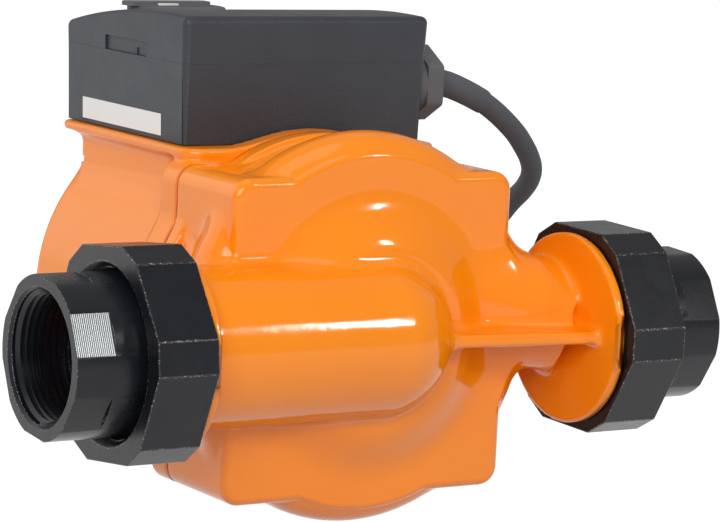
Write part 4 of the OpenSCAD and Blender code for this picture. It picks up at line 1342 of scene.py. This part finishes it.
@dataclass
class TerminalBox:
    """The dark grey box with its lid, dial, label and gland."""

    draft: float = 1.4
    wall: float = 2.3
    lid_rim: float = 2.4
    gland_axis: Pair = (64.0, 76.0)
    gland_round: float = 11.0
    gland_corner: float = 1.125
    gland_foot: float = 10.6
    gland_hole: float = 7.3
    dial_axis: Pair = (-12.5, 118.0)
    pointer_from: float = 97.75
    pointer_squash: float = 0.62
    pointer_stretch: float = 1.22
    pointer_shift: float = -4.0
    notches: tuple[tuple[Pair, Pair], ...] = (((80.4, 83.4), (83.2, 86.6)), ((72.2, 75.8), (84.3, 87.8)))
    notch_depth: float = 2.0

    def drafted(self, mesh: Mesh) -> Mesh:
        """Leans the outer walls of a part of the box inwards towards its foot.

        Args:
            mesh: The part's mesh, which is changed.

        Returns:
            The mesh.
        """
        foot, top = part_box("box_tray")[0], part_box("box_lid")[1]
        for vertex in mesh.vertices:
            inset = self.draft * MM * (top.z - vertex.co.z) / (top.z - foot.z)
            for i in (0, 1):
                away = vertex.co[i] - (foot[i] + top[i]) / 2
                if abs(away) > (top[i] - foot[i]) / 2 - self.wall * MM:
                    vertex.co[i] -= math.copysign(inset, away)
        mesh.update()
        return mesh

    def notched(self, mesh: Mesh) -> Mesh:
        """Cuts the catches' pockets into the lid's left side.

        Args:
            mesh: The lid's mesh.

        Returns:
            The cut mesh.
        """
        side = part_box("box_lid")[0].x / MM
        for (y0, y1), (z0, z1) in self.notches:
            low, high = (side - self.notch_depth, y0, z0), (side + self.notch_depth, y1, z1)
            cutter = self.block("catch_cutter", low, high, 0.05, BOX_PLASTIC)
            mesh = modified(mesh, "BOOLEAN", operation="DIFFERENCE", solver="FAST", object=cutter)
            bpy.data.objects.remove(cutter)
        shade(mesh)
        return mesh

    def sided(self, mesh: Mesh) -> Mesh:
        """Gives the gland's nut its six sides.

        Args:
            mesh: The nut's mesh, which is changed.

        Returns:
            The mesh.
        """
        axis = place(0, *self.gland_axis)
        for vertex in mesh.vertices:
            dy, dz = vertex.co.y - axis.y, vertex.co.z - axis.z
            if math.hypot(dy, dz) > self.gland_round * MM:
                turn = (math.degrees(math.atan2(dz, dy)) + 30) % 60 - 30
                share = min(1 / math.cos(math.radians(turn)), self.gland_corner)
                vertex.co.y, vertex.co.z = axis.y + dy * share, axis.z + dz * share
        shade(mesh, 24.0)
        return mesh

    def pointed(self, mesh: Mesh) -> Mesh:
        """Draws the dial's grip out into a low pointer.

        Args:
            mesh: The dial's mesh, which is changed.

        Returns:
            The mesh.
        """
        base = place(*self.dial_axis, self.pointer_from)
        for vertex in mesh.vertices:
            if vertex.co.z > base.z:
                vertex.co.z = base.z + (vertex.co.z - base.z) * self.pointer_squash
                vertex.co.x = base.x + (vertex.co.x - base.x) * self.pointer_stretch
                vertex.co.x += self.pointer_shift * MM
        mesh.update()
        return mesh

    @staticmethod
    def block(name: str, low: Triple, high: Triple, edge: float, finish: Finish) -> Piece:
        """Makes a small block with rounded edges.

        Args:
            name: The piece's name.
            low: Its lowest corner, in millimetres about the pump's centre.
            high: Its highest corner.
            edge: Width of the rounding.
            finish: Its material.

        Returns:
            The piece.
        """
        a, b = place(*low), place(*high)
        matrix = Matrix.Translation((a + b) / 2) @ Matrix.Diagonal(b - a).to_4x4()
        work = bmesh.new()
        bmesh.ops.create_cube(work, size=1.0, matrix=matrix)
        bevel(work, work.edges[:], edge, 2)
        mesh = bpy.data.meshes.new(name)
        work.to_mesh(mesh)
        work.free()
        shade(mesh)
        return new_object(name, mesh, finish)

    def build(self) -> None:
        """Makes the box and what is on it."""
        tray, lid = softened("box_tray", 0.4), softened("box_lid", 0.3, rim_mm=self.lid_rim)
        label, dial = softened("side_label", 0.05), softened("speed_dial", 0.5)
        shapes = {
            "box_tray": (self.drafted(tray), "box_plastic", BOX_PLASTIC, Body.PUMP),
            "box_lid": (self.notched(self.drafted(lid)), "box_plastic", BOX_PLASTIC, Body.PUMP),
            "side_label": (self.drafted(label), "label_film", LABEL_FILM, Body.PUMP),
            "speed_dial": (self.pointed(dial), "dial_plastic", DIAL_PLASTIC, Body.DIAL),
            "gland_nut": (self.sided(softened("gland_nut", 0.3)), "gland_plastic", GLAND_PLASTIC, Body.PUMP),
            "vent_screw": (softened("vent_screw", 0.4), "plated_screw", PLATED_BRASS, Body.VENT)}
        for node, (mesh, slot, finish, body) in shapes.items():
            mesh.materials.clear()
            mesh = evened(mesh)
            piece = new_object(f"{node}_moulded", mesh)
            for _ in range(2):
                mesh.materials.append(finish.build())
            adopt(piece, body, slot, node)
        x, y = self.dial_axis
        inlay = self.block("dial_inlay", (x - 9, y - 3.5, 97.9), (x - 1, y - 3.0, 98.7), 0.15, DIAL_MARK)
        adopt(inlay, Body.DIAL, "dial_plastic")
        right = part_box("box_lid")[1].x / MM
        y, z = self.gland_axis
        foot = Solid((right - 3, y - 12, z - 12), (right + 1, y + 12, z + 12), 0.4)
        foot.add(foot.disc("x", self.gland_foot, right - 2.0, right - 0.05, 0.4, self.gland_axis))
        foot.cut(foot.disc("x", self.gland_hole, right - 4, right + 2, centre=self.gland_axis))
        piece = new_object("gland_foot", foot.mesh("gland_foot", 20000), BOX_PLASTIC)
        adopt(piece, Body.PUMP, "box_plastic")


NODE_FINISHES = {
    "wear_ring": STAINLESS, "impeller": IVORY_PLASTIC, "motor_shaft": GROUND_STEEL, "rotor_core": CORE_STEEL,
    "thrust_ring": CARBON, "front_bearing": CERAMIC, "rear_bearing": CERAMIC, "bearing_plate": STAINLESS,
    "rotor_can": STAINLESS, "can_o_ring": SEAL_RUBBER, "casing_gasket": ENAMEL_JOINT,
    "stator_core": CORE_STEEL, "stator_windings": COPPER_WIRE, "casing_screws": BLACK_STEEL,
    "vent_seal": SEAL_RUBBER,
    "box_screws": STAINLESS, "speed_switch": IVORY_PLASTIC, "capacitor": PALE_CASE,
    "terminal_block": IVORY_PLASTIC, "earth_screw": PLATED_BRASS, "cable_gland": GLAND_PLASTIC,
    "gland_seal": SEAL_RUBBER, "coil_tie": TIE_PLASTIC, "plug_pins": GROUND_STEEL,
    "union_gasket_left": SEAL_RUBBER, "union_gasket_right": SEAL_RUBBER}


def dress_nodes() -> None:
    """Gives every solid that stays in view its own finish."""
    for node, finish in NODE_FINISHES.items():
        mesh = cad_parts[node].data
        mesh.materials.clear()
        mesh.materials.append(finish.build())
    LOG.info("dressed %d solids", len(NODE_FINISHES))


def main() -> None:
    """Builds the whole scene in order."""
    logging.basicConfig(level=logging.INFO, format="%(name)s: %(message)s")
    Studio().build()
    Lead().build()
    Casing().build()
    MotorShell().build()
    TerminalBox().build()
    Unions().build()
    dress_nodes()


if __name__ == "__main__":
    main()
